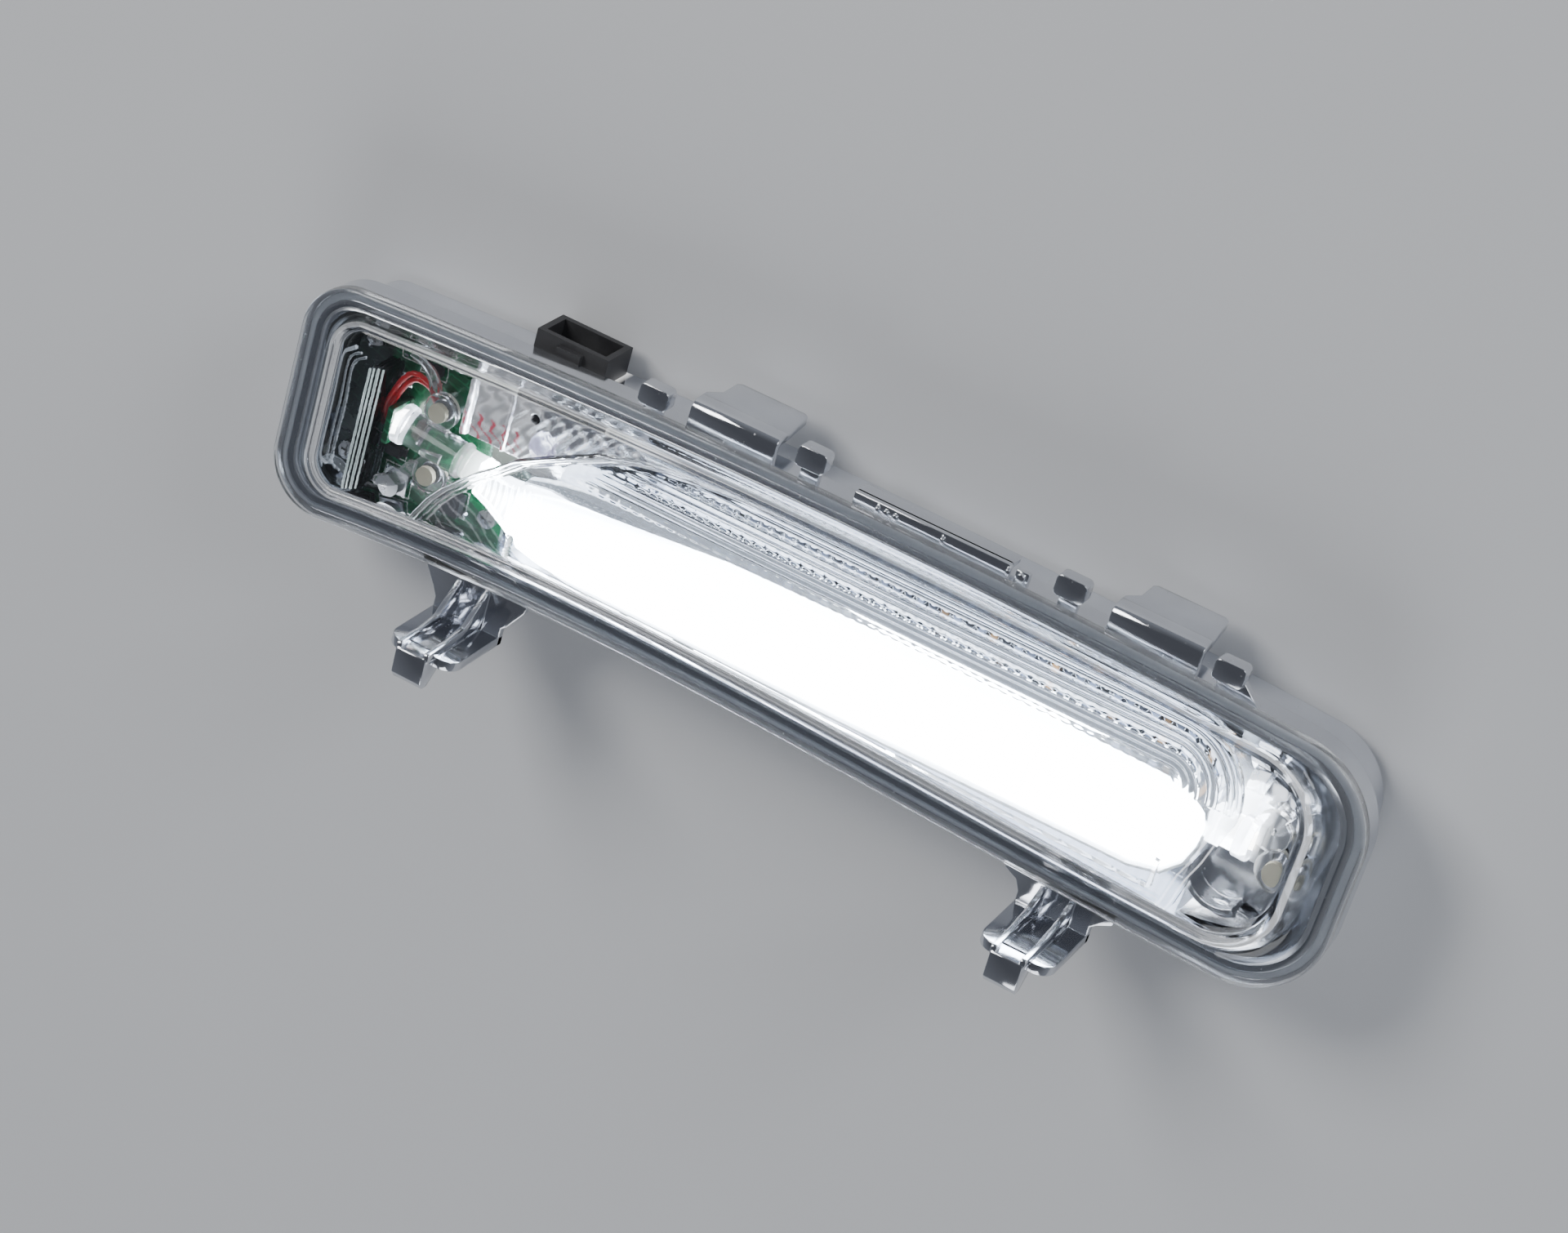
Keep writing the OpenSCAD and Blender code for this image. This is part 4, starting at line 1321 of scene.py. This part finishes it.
        maker.tone(self.look)
        return maker.place(smooth_deg=60.0, replaces=("inner_lens",))

    @staticmethod
    def skin(maker: PieceMaker, upper: list[bmesh.types.BMVert], lower: list[bmesh.types.BMVert]) -> None:
        """Adds the faces between two rows of points.

        Args:
            maker: The piece that gets them.
            upper: The row with the greater y.
            lower: The other row, where neighbours may be one point.
        """
        for i in range(len(upper) - 1):
            corners = list(dict.fromkeys((upper[i], lower[i], lower[i + 1], upper[i + 1])))
            maker.mesh.faces.new(corners)


@dataclass
class LightGuide:
    """Clear light guide: leaning round end with rings, ridged fan, blade, ears and curved arms."""

    start: Point = (-104.9, -2.1, -8.0)
    lean: float = -6.5
    radius: float = 4.0
    studs: Line = ((-95.3, 4.6), (-94.6, -10.8))
    right_stud: Flat = (113.3, -6.5)
    right_lobe: Flat = (109.6, 1.6)
    arm: Line = ((-3.4, 1.4), (-5.8, 0.6), (-7.6, -2.6), (-9.8, -5), (-12.6, -6), (-12.9, -7.4),
                 (-12, -8.2), (-9.4, -7.6), (-6.4, -5.6), (-3.6, -2))
    thin: tuple[float, float] = (-9.0, -7.2)
    ridges: int = 11
    blade: Line = (
        (-82, -8.4), (-82, -1.4), (-78, -3.2), (-71, -3), (-65, -1.6), (-59, -0.4), (-46.8, 1.2),
        (-19, 4), (20, 5.4), (60, 5.4), (86, 4.6), (92, 3), (95.4, 0.4), (96.4, -2.4), (96, -7),
        (94.4, -11.8), (90.6, -15.8), (84, -17.4), (47.5, -17.6), (-12, -17.8), (-54, -17.9),
        (-62, -17.4), (-68.5, -15.8), (-73.5, -12.6), (-78, -10))

    def along(self, reach: float) -> Vector:
        """Gives a point on the axis of the leaning end.

        Args:
            reach: How far it lies from the emitter.

        Returns:
            The point.
        """
        a = math.radians(self.lean)
        return Vector(self.start) + Vector((math.cos(a), math.sin(a), 0)) * reach

    def ear(self, maker: PieceMaker, x: float, y: float, radius: float, hole: float) -> None:
        """Adds a ring-shaped ear round a stud.

        Args:
            maker: The piece that gets it.
            x: The stud's place along the lamp.
            y: The stud's place across the lamp.
            radius: The ear's radius.
            hole: Radius of its hole.
        """
        section = ((hole, -9.2), (radius - 0.2, -9.2), (radius, -9.0), (radius, -7.4), (radius - 0.3, -7.2),
                   (hole, -7.2), (hole, -9.2))
        maker.turned([(Vector((x, y, z)), r) for r, z in section], ALONG, ACROSS, 40)

    def build(self) -> bpy.types.Object:
        """Builds the guide.

        Returns:
            The piece.
        """
        maker = PieceMaker("light_guide_piece", Finish.GUIDE, "guide")
        r = self.radius
        stops = [(1.7, r - 0.4), (1.9, r), (16.8, r), (17.2, r + 0.3), (18.0, r + 0.3), (18.4, r - 0.5),
                 (19.2, r - 0.5), (25.0, r - 0.2)]
        maker.tube([self.along(d) for d, _ in stops], [q for _, q in stops], 40)
        maker.tube([Vector((x, GUIDE_Y, -8)) for x in (105.4, 105.2, 96.4, 96.0, 94.4)],
                   [r - 0.4, r, r, r + 0.4, r + 0.4], 40)
        maker.prism(list(self.blade[::-1]), -10.2, -5.4)
        for i in range(self.ridges):
            x, y = -79.6 + 1.45 * i, -5.4 - 0.16 * i
            half = 2.6 + 0.3 * i
            maker.tube([Vector((x - 0.5 * abs(t) ** 1.5, y + half * t, -5.5 + 0.35 * (1 - t * t)))
                        for t in (-1, -0.6, -0.2, 0.2, 0.6, 1)], [0.14, 0.34, 0.4, 0.4, 0.34, 0.14], 10)
        for x, y in self.studs:
            self.ear(maker, x, y, 4.2, 2.0)
            side = 1 if y > GUIDE_Y else -1
            far, near = y - side * 3.4, GUIDE_Y + side * 2.6
            neck = [(x - 2.4, far), (x + 2.4, far), (x + 2.6, near), (x - 2.6, near)]
            maker.prism(neck[::side], -9, -7.4)
        self.ear(maker, *self.right_stud, 5.0, 2.6)
        self.ear(maker, *self.right_lobe, 4.6, 0.6)
        middle = (-108.4, 4.6)
        maker.prism(OUTLINE.arc(middle, 12.2, 15, 74, 18) + OUTLINE.arc(middle, 10.2, 74, 15, 18), *self.thin)
        x, y = self.studs[1]
        maker.prism([(x + a, y + b) for a, b in self.arm], *self.thin)
        return maker.place(bevel_mm=0.18, smooth_deg=40.0, replaces=("light_guide",))


@dataclass
class LeftReflector:
    """Wavy mirror plate with its rolled rim, slot line, dimple and clear cone."""

    low: float = -9.8
    thick: float = 1.4
    under: Line = ((-90.2, 2.2), (-72.4, 2.2), (-66.0, 6.6), (-58.0, 8.4), (-46.0, 14.2))
    over: Line = ((-90.2, 14.8), (-89.1, 17.5), (-86.4, 18.6), (-58.0, 18.8), (-50.0, 18.0), (-46.0, 14.6))
    dimple: Flat = (-73.4, 12.6)
    cone: Flat = (-69.6, 7.6)
    columns: int = 150
    rows: int = 56

    def rise(self, x: float, y: float) -> float:
        """Gives the height of the relief.

        Args:
            x: Place along the lamp.
            y: Place across the lamp.

        Returns:
            Height over the plate's flat top.
        """
        wave = 0.16 * math.sin(1.1 * x + 1.4 * math.sin(0.8 * y)) + 0.08 * math.sin(2.3 * x - 1.7 * y)
        wave *= 1.0 if x > -72 else 0.45
        roll = 1.5 * bead(x + 89.2, 0.9)
        slot = 0.5 if abs(x + 79.3) < 0.3 else 0.0
        sink = -0.9 if math.dist((x, y), self.dimple) < 1.1 else 0.0
        return wave + max(roll, slot) + sink

    def look(self, x: float, y: float, z: float) -> tuple[Colour, float]:
        """Gives the painted reflections and painted shade of a point on the plate.

        Args:
            x: Place along the lamp.
            y: Place across the lamp.
            z: Height over the rim's front plane.

        Returns:
            The colour of its painted light, and how much painted shade it gets.
        """
        # Painted shade in the dimple.
        if math.dist((x, y), self.dimple) < 1.15:
            return UNLIT, 0.9
        cloud = 0.5 + 0.5 * math.sin(1.3 * x + 2.1 * math.sin(0.9 * y) + 0.7 * math.sin(2.1 * x - 1.3 * y))
        # Red streaks: painted red reflections.
        if x < -74.5 and y < 8.0 and math.sin(2.0 * x + 1.6 * y + 1.8 * math.sin(1.5 * y)) > 0.72:
            return (0.42, 0.02, 0.05), 0.2
        # Cloudy painted reflections, brighter left of x = -72.5.
        lit = 0.26 + 0.3 * cloud ** 2 if x < -72.5 else 0.03 + 0.36 * cloud ** 5
        return (0.94 * lit, 0.95 * lit, lit), 0.0

    def build(self) -> list[bpy.types.Object]:
        """Builds the plate and its cone.

        Returns:
            The pieces.
        """
        plate = PieceMaker("left_mirror", Finish.PLATED_TRIM, "plated_trim")
        top = self.low + self.thick
        last: list[bmesh.types.BMVert] = []
        for i in range(self.columns + 1):
            x = self.under[0][0] + (self.under[-1][0] - self.under[0][0]) * i / self.columns
            y0, y1 = (read_line(line, x, 0) for line in (self.under, self.over))
            column = [plate.mesh.verts.new((x, y, top + self.rise(x, y)))
                      for y in (y0 + (y1 - y0) * j / self.rows for j in range(self.rows + 1))]
            if last:
                for j in range(self.rows):
                    plate.mesh.faces.new((last[j], column[j], column[j + 1], last[j + 1]))
            last = column
        plate.close_below(self.low)
        plate.tone(self.look)
        cone = PieceMaker("left_mirror_cone", Finish.OPTIC, "clear_optic")
        x, y = self.cone
        cone.tube([Vector((x + 0.5 * h, y + 0.35 * h, top + 0.1 + h)) for h in (0.0, 0.4, 1.6, 2.6, 2.9)],
                  [3.4, 3.3, 2.2, 1.3, 0.9], 36)
        # Faint purple painted light and some painted shade all over the clear cone.
        cone.tone(lambda x, y, z: ((0.16, 0.15, 0.24), 0.3))
        return [plate.place(smooth_deg=50.0, replaces=("left_reflector",)), cone.place(smooth_deg=50.0)]


@dataclass
class LightTrough:
    """Reflector trough round the guide's blade, glowing on its floor."""

    blade: Line
    base: float = -13.2

    def build(self) -> bpy.types.Object:
        """Builds the trough.

        Returns:
            The piece.
        """
        maker = PieceMaker("light_trough", Finish.TRAY, "tray")
        inner = [Vector(p) for p in self.blade if p[0] > -76]
        middle = Vector((14, -6.7))
        loops = []
        for grow, height in ((0.5, self.base + 1), (0.5, None), (1.2, None), (1.2, self.base),
                             (0.2, self.base)):
            loop = []
            for i, point in enumerate(inner):
                way = inner[(i + 1) % len(inner)] - inner[i - 1]
                out = Vector((-way.y, way.x)).normalized()
                out = out if out.dot(point - middle) > 0 else -out
                rim = -9.4 + 5.0 * ramp(point.x, -68, 12)
                loop.append((point.x + grow * out.x, point.y + grow * out.y,
                             rim if height is None else height))
            loops.append(loop)
        maker.rings(loops)
        return maker.place(bevel_mm=0.1, smooth_deg=40.0, replaces=("light_tray",))


@dataclass
class EndFrame:
    """Clear partition with painted highlights on its top edges, far-left frame and curly bracket."""

    left: tuple[Point, ...] = ((-119.2, 9.6, -8), (-120.4, 8.7, -8), (-123, 6, -8), (-122.8, -3.9, -8),
                               (-122.8, -17.8, -8), (-120.3, -19.7, -8), (-118.8, -19.2, -8.4))
    bracket: tuple[Point, ...] = ((-121.8, -21, -10), (-120.4, -19.6, -10), (-118.4, -19.4, -10),
                                  (-116.2, -20.2, -10), (-114.9, -21.6, -10), (-115.4, -23.2, -10),
                                  (-116.8, -24, -10))

    def build(self) -> list[bpy.types.Object]:
        """Builds the partition and the frame.

        Returns:
            The pieces.
        """
        wall = PieceMaker("partition_wall", Finish.OPTIC, "clear_optic")
        for x, width, low, high in ((-112.9, 0.35, -22.4, 8.4), (-111.9, 0.22, -21.8, 8.8),
                                    (-110.9, 0.45, -21.2, 9.2), (-109.6, 0.25, -20.4, 9.4)):
            wall.box((x, low, -13.2), (x + width, high, -4.6))
            wall.box((x - 0.05, low, -4.5), (x + width + 0.05, high, -4.0))
        wall.box((-113.3, -21.8, -13.3), (-109.2, 8.6, -12.4))
        # Painted highlight on the partition's top caps and a little painted shade.
        wall.tone(lambda x, y, z: ((0.14, 0.17, 0.17) if z > -4.55 else UNLIT, 0.1))
        frame = PieceMaker("end_frame", Finish.OPTIC, "clear_optic")
        for line, radius in ((self.left, 0.55), (self.bracket, 1.0)):
            path = [Vector(p) for p in smooth_profile(list(line), 4)]
            frame.tube(path, [radius] * len(path), 14)
        for shift in (2.0, 3.4):
            path = [Vector((x + shift, y - 0.4 * shift, z - 1.5))
                    for x, y, z in smooth_profile(list(self.left[1:6]), 4)]
            frame.tube(path, [0.3] * len(path), 10)
        # Painted highlight on the frame's upper sides and one thin low line, faint painted light elsewhere,
        # and some painted shade.
        bright, dim = (0.2, 0.22, 0.25), (0.04, 0.045, 0.05)
        frame.tone(lambda x, y, z: (bright if z > -7.7 or -9.4 > z > -9.6 else dim, 0.3))
        return [wall.place(bevel_mm=0.1, replaces=("partition",)),
                frame.place(smooth_deg=60.0, replaces=("left_frame",))]


@dataclass
class RightEmitter:
    """Board, emitter and clear collar under the guide's right end."""

    def build(self) -> list[bpy.types.Object]:
        """Builds the three pieces.

        Returns:
            The pieces.
        """
        board = PieceMaker("right_emitter_board", Finish.WHITE_BOARD, "board")
        board.box((106.9, -6.8, -13.4), (108.3, 2.0, -7.6))
        chip = PieceMaker("right_emitter_chip", Finish.EMITTER, "emitter")
        chip.prism(OUTLINE.arc((GUIDE_Y, -8.4), 2.2, *DISC), 105.9, 106.9, 0)
        collar = PieceMaker("right_emitter_collar", Finish.COLLAR, "collar")
        section = ((103.2, 4.2), (103.2, 4.5), (103.5, 4.8), (106.4, 4.8), (106.7, 4.6), (106.7, 4.2),
                   (103.2, 4.2))
        collar.turned([(Vector((x, GUIDE_Y, -8.2)), r) for x, r in section], ACROSS, UP, 48)
        return [board.place(bevel_mm=0.06, replaces=("right_led_board",)),
                chip.place(bevel_mm=0.05, replaces=("right_led",)),
                collar.place(smooth_deg=50.0, replaces=("right_collar",))]


@dataclass
class LeftEmitter:
    """Board, emitter and glowing collar at the guide's leaning end."""

    guide: LightGuide

    def build(self) -> list[bpy.types.Object]:
        """Builds the three pieces.

        Returns:
            The pieces.
        """
        board = PieceMaker("emitter_board", Finish.BOARD, "board")
        x, y, z = self.guide.start
        board.box((x - 1.4, -7.0, -13.4), (x, 1.8, -4.4))
        chip = PieceMaker("emitter_chip", Finish.EMITTER, "emitter")
        chip.box((x, y - 2.6, z - 2.6), (x + 0.5, y + 2.6, z + 2.6))
        chip.prism(OUTLINE.arc((y, z), 1.8, *DISC), x + 0.4, x + 1.1, 0)
        collar = PieceMaker("emitter_collar", Finish.COLLAR, "collar")
        axis = (self.guide.along(1) - self.guide.along(0)).normalized()
        section = ((0.7, 4.15), (0.7, 4.5), (0.9, 4.7), (2.6, 4.7), (2.9, 4.5), (2.9, 4.15), (0.7, 4.15))
        collar.turned([(self.guide.along(reach), radius) for reach, radius in section],
                      Vector((-axis.y, axis.x, 0)), UP, 48)
        return [board.place(bevel_mm=0.06, replaces=("left_led_board",)),
                chip.place(bevel_mm=0.05, replaces=("left_led",)),
                collar.place(smooth_deg=50.0, replaces=("left_collar",))]


@dataclass
class EndFacets:
    """Fan of mirror facets and the bright step at the right end."""

    spokes: tuple[tuple[float, float, float, float], ...] = (
        (100.6, 7.2, 101.6, 13.6), (104.6, 6.8, 106.6, 14.0), (108.4, 6.0, 111.6, 12.6),
        (111.4, 4.4, 115.2, 9.4), (113.0, 2.4, 117.2, 4.6))
    step: tuple[Point, ...] = ((96.6, -25.4, -7.6), (114.4, -22.4, -8.0), (110.4, -20.4, -9.8),
                               (104.6, -19.6, -10.2), (98.4, -21.2, -9.6))
    floor: float = -12.0

    def build(self) -> bpy.types.Object:
        """Builds the facets.

        Returns:
            The piece.
        """
        maker = PieceMaker("end_facets", Finish.PLATED_TRIM, "plated_trim")
        for i, (a, b) in enumerate(zip(self.spokes, self.spokes[1:])):
            high = -7.2 + 1.4 * (i % 2)
            slab = [(*a[:2], high - 2.2), (*a[2:], high), (*b[2:], high - 1.4), (*b[:2], high - 3.0)]
            maker.rings([[(x, y, self.floor) for x, y, _ in slab], slab])
        maker.rings([[(x, y, self.floor) for x, y, _ in self.step], list(self.step)])
        return maker.place(bevel_mm=0.15, smooth_deg=30.0)


@dataclass
class HookUpWires:
    """Two red wires that loop from the board to the emitter."""

    radius: float = 0.66
    gap: float = 1.5
    line: tuple[Point, ...] = (
        (-98.6, 3.4, -12.8), (-98.2, 5.0, -11.2), (-98.6, 7.0, -9.4), (-100.0, 8.6, -8.4),
        (-101.8, 9.2, -8.0), (-103.6, 8.6, -8.0), (-105.3, 6.4, -8.0), (-106.8, 3.0, -8.2),
        (-108.0, 0.0, -8.8), (-108.6, -3.0, -9.8), (-108.4, -5.6, -11.4), (-107.9, -6.8, -12.9))

    def route(self, index: int) -> list[Vector]:
        """Gives one wire's line.

        Args:
            index: Which wire, from the inner one.

        Returns:
            Points along the wire.
        """
        path = [Vector(p) for p in smooth_profile(list(self.line), 5)]
        out = Vector((-0.55, 0.8, 0.25)).normalized() * self.gap * index
        return [p + out * math.sin(math.pi * i / (len(path) - 1)) ** 0.4 + Vector((0, 0, 0.1 * index))
                for i, p in enumerate(path)]

    def build(self) -> bpy.types.Object:
        """Builds both wires.

        Returns:
            The piece.
        """
        maker = PieceMaker("hook_up_wires", Finish.RED_WIRE, "wire_red")
        for index in (0, 1):
            line = self.route(index)
            maker.tube(line, [self.radius] * len(line), 18)
        return maker.place(replaces=("red_wires",))


@dataclass
class BoardDressing:
    """The driver board with its pads, solder and blank markings."""

    top: float = -13.4
    thick: float = 1.6
    stroke: float = 0.24
    sunk: float = 0.02
    outline: Line = (
        (-121.4, -18.6), (-118, -22.8), (-96, -22.6), (-82, -21.4), (-76.6, -21.0), (-76.6, -14.4),
        (-83.6, -10.6), (-84.6, 2.4), (-80, 7.8), (-62.6, 8.4), (-62.6, 16.4), (-117.6, 16.4),
        (-121.4, 12.6))
    pads: Line = (
        (-109.4, 13.4), (-105.0, 13.4), (-109.4, 10.6), (-105.0, 10.6), (-104.2, 6.4), (-99.8, 6.4),
        (-103.4, -9.4), (-99.0, -9.4), (-103.4, -6.8), (-99.0, -6.8), (-100.6, -18.2), (-96.2, -18.2))
    joints: Line = (
        (-92.2, 12.4), (-91.6, 14.2), (-107.2, 3.8), (-109.0, 5.4), (-98.2, 14.9), (-95.6, 15.2),
        (-88.0, -13.0), (-111.0, -4.6), (-111.0, -1.6), (-86.0, -18.6), (-118.6, 9.0), (-116.0, -11.0))

    def build(self) -> list[bpy.types.Object]:
        """Builds the dressing.

        Returns:
            The pieces.
        """
        z = self.top
        board = PieceMaker("driver_board_plate", Finish.BOARD, "board")
        board.prism(list(self.outline), z - self.thick, z)
        pads = PieceMaker("board_pads", Finish.SOLDER, "screw")
        for x, y in self.pads:
            pads.box((x - 0.5, y - 0.1, z - self.sunk), (x + 0.5, y + 1.3, z + 0.09))
        for i in range(5):
            pads.box((-97.8 + 1.3 * i, -12.9, z - self.sunk), (-97.1 + 1.3 * i, -11.2, z + 0.08))
        joints = PieceMaker("solder_joints", Finish.SOLDER, "screw")
        for i, (x, y) in enumerate(self.joints):
            size = 0.75 + 0.12 * (i % 3)
            joints.tube([Vector((x, y, z + h)) for h in (-self.sunk, 0.05, 0.22, 0.48, 0.8)],
                        [size, size * 0.96, size * 0.72, size * 0.45, size * 0.26], 14)
        marks = PieceMaker("board_markings", Finish.MARKING, "board")
        for x0, y0, x1, y1 in ((-110.4, 9.9, -104.1, 15.2), (-105.4, 8.2, -98.4, 14.4),
                               (-108.8, -13.8, -103.4, -9.6), (-92.8, -20.2, -85.8, -13.4),
                               (-108.2, -22.2, -100.6, -15.2)):
            left, low, right, high = x0 + self.stroke, y0 + self.stroke, x1 - self.stroke, y1 - self.stroke
            for a, b in (((x0, y0), (x1, low)), ((x0, high), (x1, y1)), ((x0, low), (left, high)),
                         ((right, low), (x1, high))):
                marks.box((*a, z - self.sunk), (*b, z + 0.03))
        for i in range(9):
            marks.box((-108.6 + 1.1 * i, 15.5, z - self.sunk),
                      (-107.9 + 1.1 * i + 0.1 * (i % 3), 15.8, z + 0.03))
        return [board.place(bevel_mm=0.06, replaces=("driver_board",)), pads.place(bevel_mm=0.04),
                joints.place(smooth_deg=70.0), marks.place()]


@dataclass
class NodeFinishes:
    """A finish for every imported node, also for those that a piece stands for."""

    finishes: dict[str, Finish] = field(default_factory=lambda: {
        "outer_lens": Finish.COVER, "seal_bead": Finish.SEAL, "housing": Finish.PLATED_BODY,
        "inner_lens": Finish.OPTIC, "light_guide": Finish.GUIDE, "light_tray": Finish.TRAY,
        "left_reflector": Finish.PLATED_TRIM, "right_reflector": Finish.PLATED_TRIM,
        "partition": Finish.CLEAR_TRIM, "left_frame": Finish.CLEAR_TRIM, "driver_board": Finish.BOARD,
        "driver_chip": Finish.BLACK_PART, "capacitor": Finish.CAN, "inductor": Finish.FERRITE,
        "diode": Finish.BLACK_PART, "resistors": Finish.CHIP_PART, "left_led_board": Finish.BOARD,
        "left_led": Finish.EMITTER, "left_collar": Finish.COLLAR, "right_led_board": Finish.WHITE_BOARD,
        "right_led": Finish.EMITTER, "right_collar": Finish.COLLAR, "left_studs": Finish.STUD,
        "right_stud": Finish.STUD, "board_screws": Finish.SCREW, "red_wires": Finish.RED_WIRE,
        "feed_wires": Finish.BLACK_WIRE, "connector_shell": Finish.SOCKET,
        "connector_pins": Finish.CONTACT, "vent_cap": Finish.VENT})

    def dress(self, nodes: dict[str, bpy.types.Object]) -> int:
        """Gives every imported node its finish.

        Args:
            nodes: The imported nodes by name.

        Returns:
            How many nodes were dressed.
        """
        for name, finish in self.finishes.items():
            mesh = nodes[name].data
            mesh.materials.clear()
            mesh.materials.append(finish.material())
        return len(self.finishes)


@dataclass
class Studio:
    """Camera, floor and soft lights."""

    focal_mm: float = 97.5
    sensor_mm: float = 36.0
    place: Point = (0.2649, 0.4192, 0.7727)
    right: Point = (0.857, 0.255, -0.449)
    back: Point = (0.299, 0.464, 0.834)
    floor_tint: Colour = (0.8, 0.81, 0.83)
    aim: Point = (0, 0, 0.02)

    def camera(self) -> bpy.types.Object:
        """Sets up the camera at the photograph's angle.

        Returns:
            The camera.
        """
        data = bpy.data.cameras.new("Camera")
        data.lens = self.focal_mm
        data.sensor_width = self.sensor_mm
        data.sensor_fit = "HORIZONTAL"
        data.clip_start = 0.01
        back = Vector(self.back).normalized()
        right = Vector(self.right)
        right = (right - back * right.dot(back)).normalized()
        up = back.cross(right)
        turn = Matrix((right, up, back)).transposed().to_4x4()
        camera = stand("Camera", data)
        camera.matrix_world = Matrix.Translation(self.place) @ turn
        bpy.context.scene.camera = camera
        return camera

    def floor(self) -> bpy.types.Object:
        """Lays the plain pale floor.

        Returns:
            The floor.
        """
        material, b = new_material("Pale floor")
        marks = b.add("Group", p_node_tree=EFFECTS.mottle(), Patch=0.25, Speck=0.004)
        colour = b.blend(marks.outputs["Patches"], self.floor_tint, tuple(0.97 * c for c in self.floor_tint))
        shader = b.add("BsdfPrincipled", Base_Color=colour, Roughness=0.6)
        close_material(b, shader)
        mesh = bpy.data.meshes.new("floor")
        mesh.from_pydata([(-4, -4, 0), (4, -4, 0), (4, 4, 0), (-4, 4, 0)], [], [(0, 1, 2, 3)])
        mesh.materials.append(material)
        floor = stand("floor", mesh)
        floor.location.z = -0.0002
        return floor

    def softbox(self, name: str, place: Point, size: float, power: float, tint: Colour) -> bpy.types.Object:
        """Hangs one soft square light that points at the lamp.

        Args:
            name: Name of the light.
            place: Where it hangs, in metres.
            size: Side of the square, in metres.
            power: Power in watts.
            tint: Colour of its light.

        Returns:
            The light.
        """
        data = bpy.data.lights.new(name, "AREA")
        data.shape = "SQUARE"
        data.size = size
        data.energy = power
        data.color = tint
        light = stand(name, data)
        light.location = place
        light.rotation_euler = (Vector(self.aim) - Vector(place)).to_track_quat("-Z", "Y").to_euler()
        return light

    def world(self) -> bpy.types.World:
        """Sets a dim, even surround.

        Returns:
            The world.
        """
        world = bpy.data.worlds.new("Surround")
        world.use_nodes = True
        b = NodeBench(world.node_tree)
        up = b.add("SeparateXYZ", Vector=b.add("TexCoord").outputs["Generated"]).outputs[2]
        sky = b.blend(b.spread(up, -0.1, 0.9), (0.34, 0.36, 0.4), (0.1, 0.105, 0.12))
        shade = b.add("Background", Color=sky, Strength=0.8)
        b.add("OutputWorld", Surface=shade.outputs[0])
        bpy.context.scene.world = world
        return world

    def build(self) -> None:
        """Sets up the whole studio."""
        self.camera()
        self.floor()
        self.world()
        self.softbox("Key", (-0.9, 0.9, 1.1), 0.7, 14.0, (1.0, 0.99, 0.97))
        self.softbox("Rear", (0.9, 0.9, 0.5), 0.5, 5.0, (0.93, 0.96, 1.0))
        self.softbox("Front", (0.3, -1.2, 0.8), 0.8, 6.0, (0.95, 0.97, 1.0))


def main() -> None:
    """Builds the lamp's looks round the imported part."""
    logging.basicConfig(level=logging.INFO, format="%(message)s")
    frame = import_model()
    LOG.info("dressed %d packed nodes", NodeFinishes().dress(frame["nodes"]))
    PlatedHousing().build()
    CoverShell().build()
    OpticPlate().build()
    guide = LightGuide()
    guide.build()
    LeftReflector().build()
    LightTrough(guide.blade).build()
    LeftEmitter(guide).build()
    RightEmitter().build()
    EndFrame().build()
    EndFacets().build()
    HookUpWires().build()
    BoardDressing().build()
    Studio().build()
    LOG.info("studio set up")


if __name__ == "__main__":
    main()
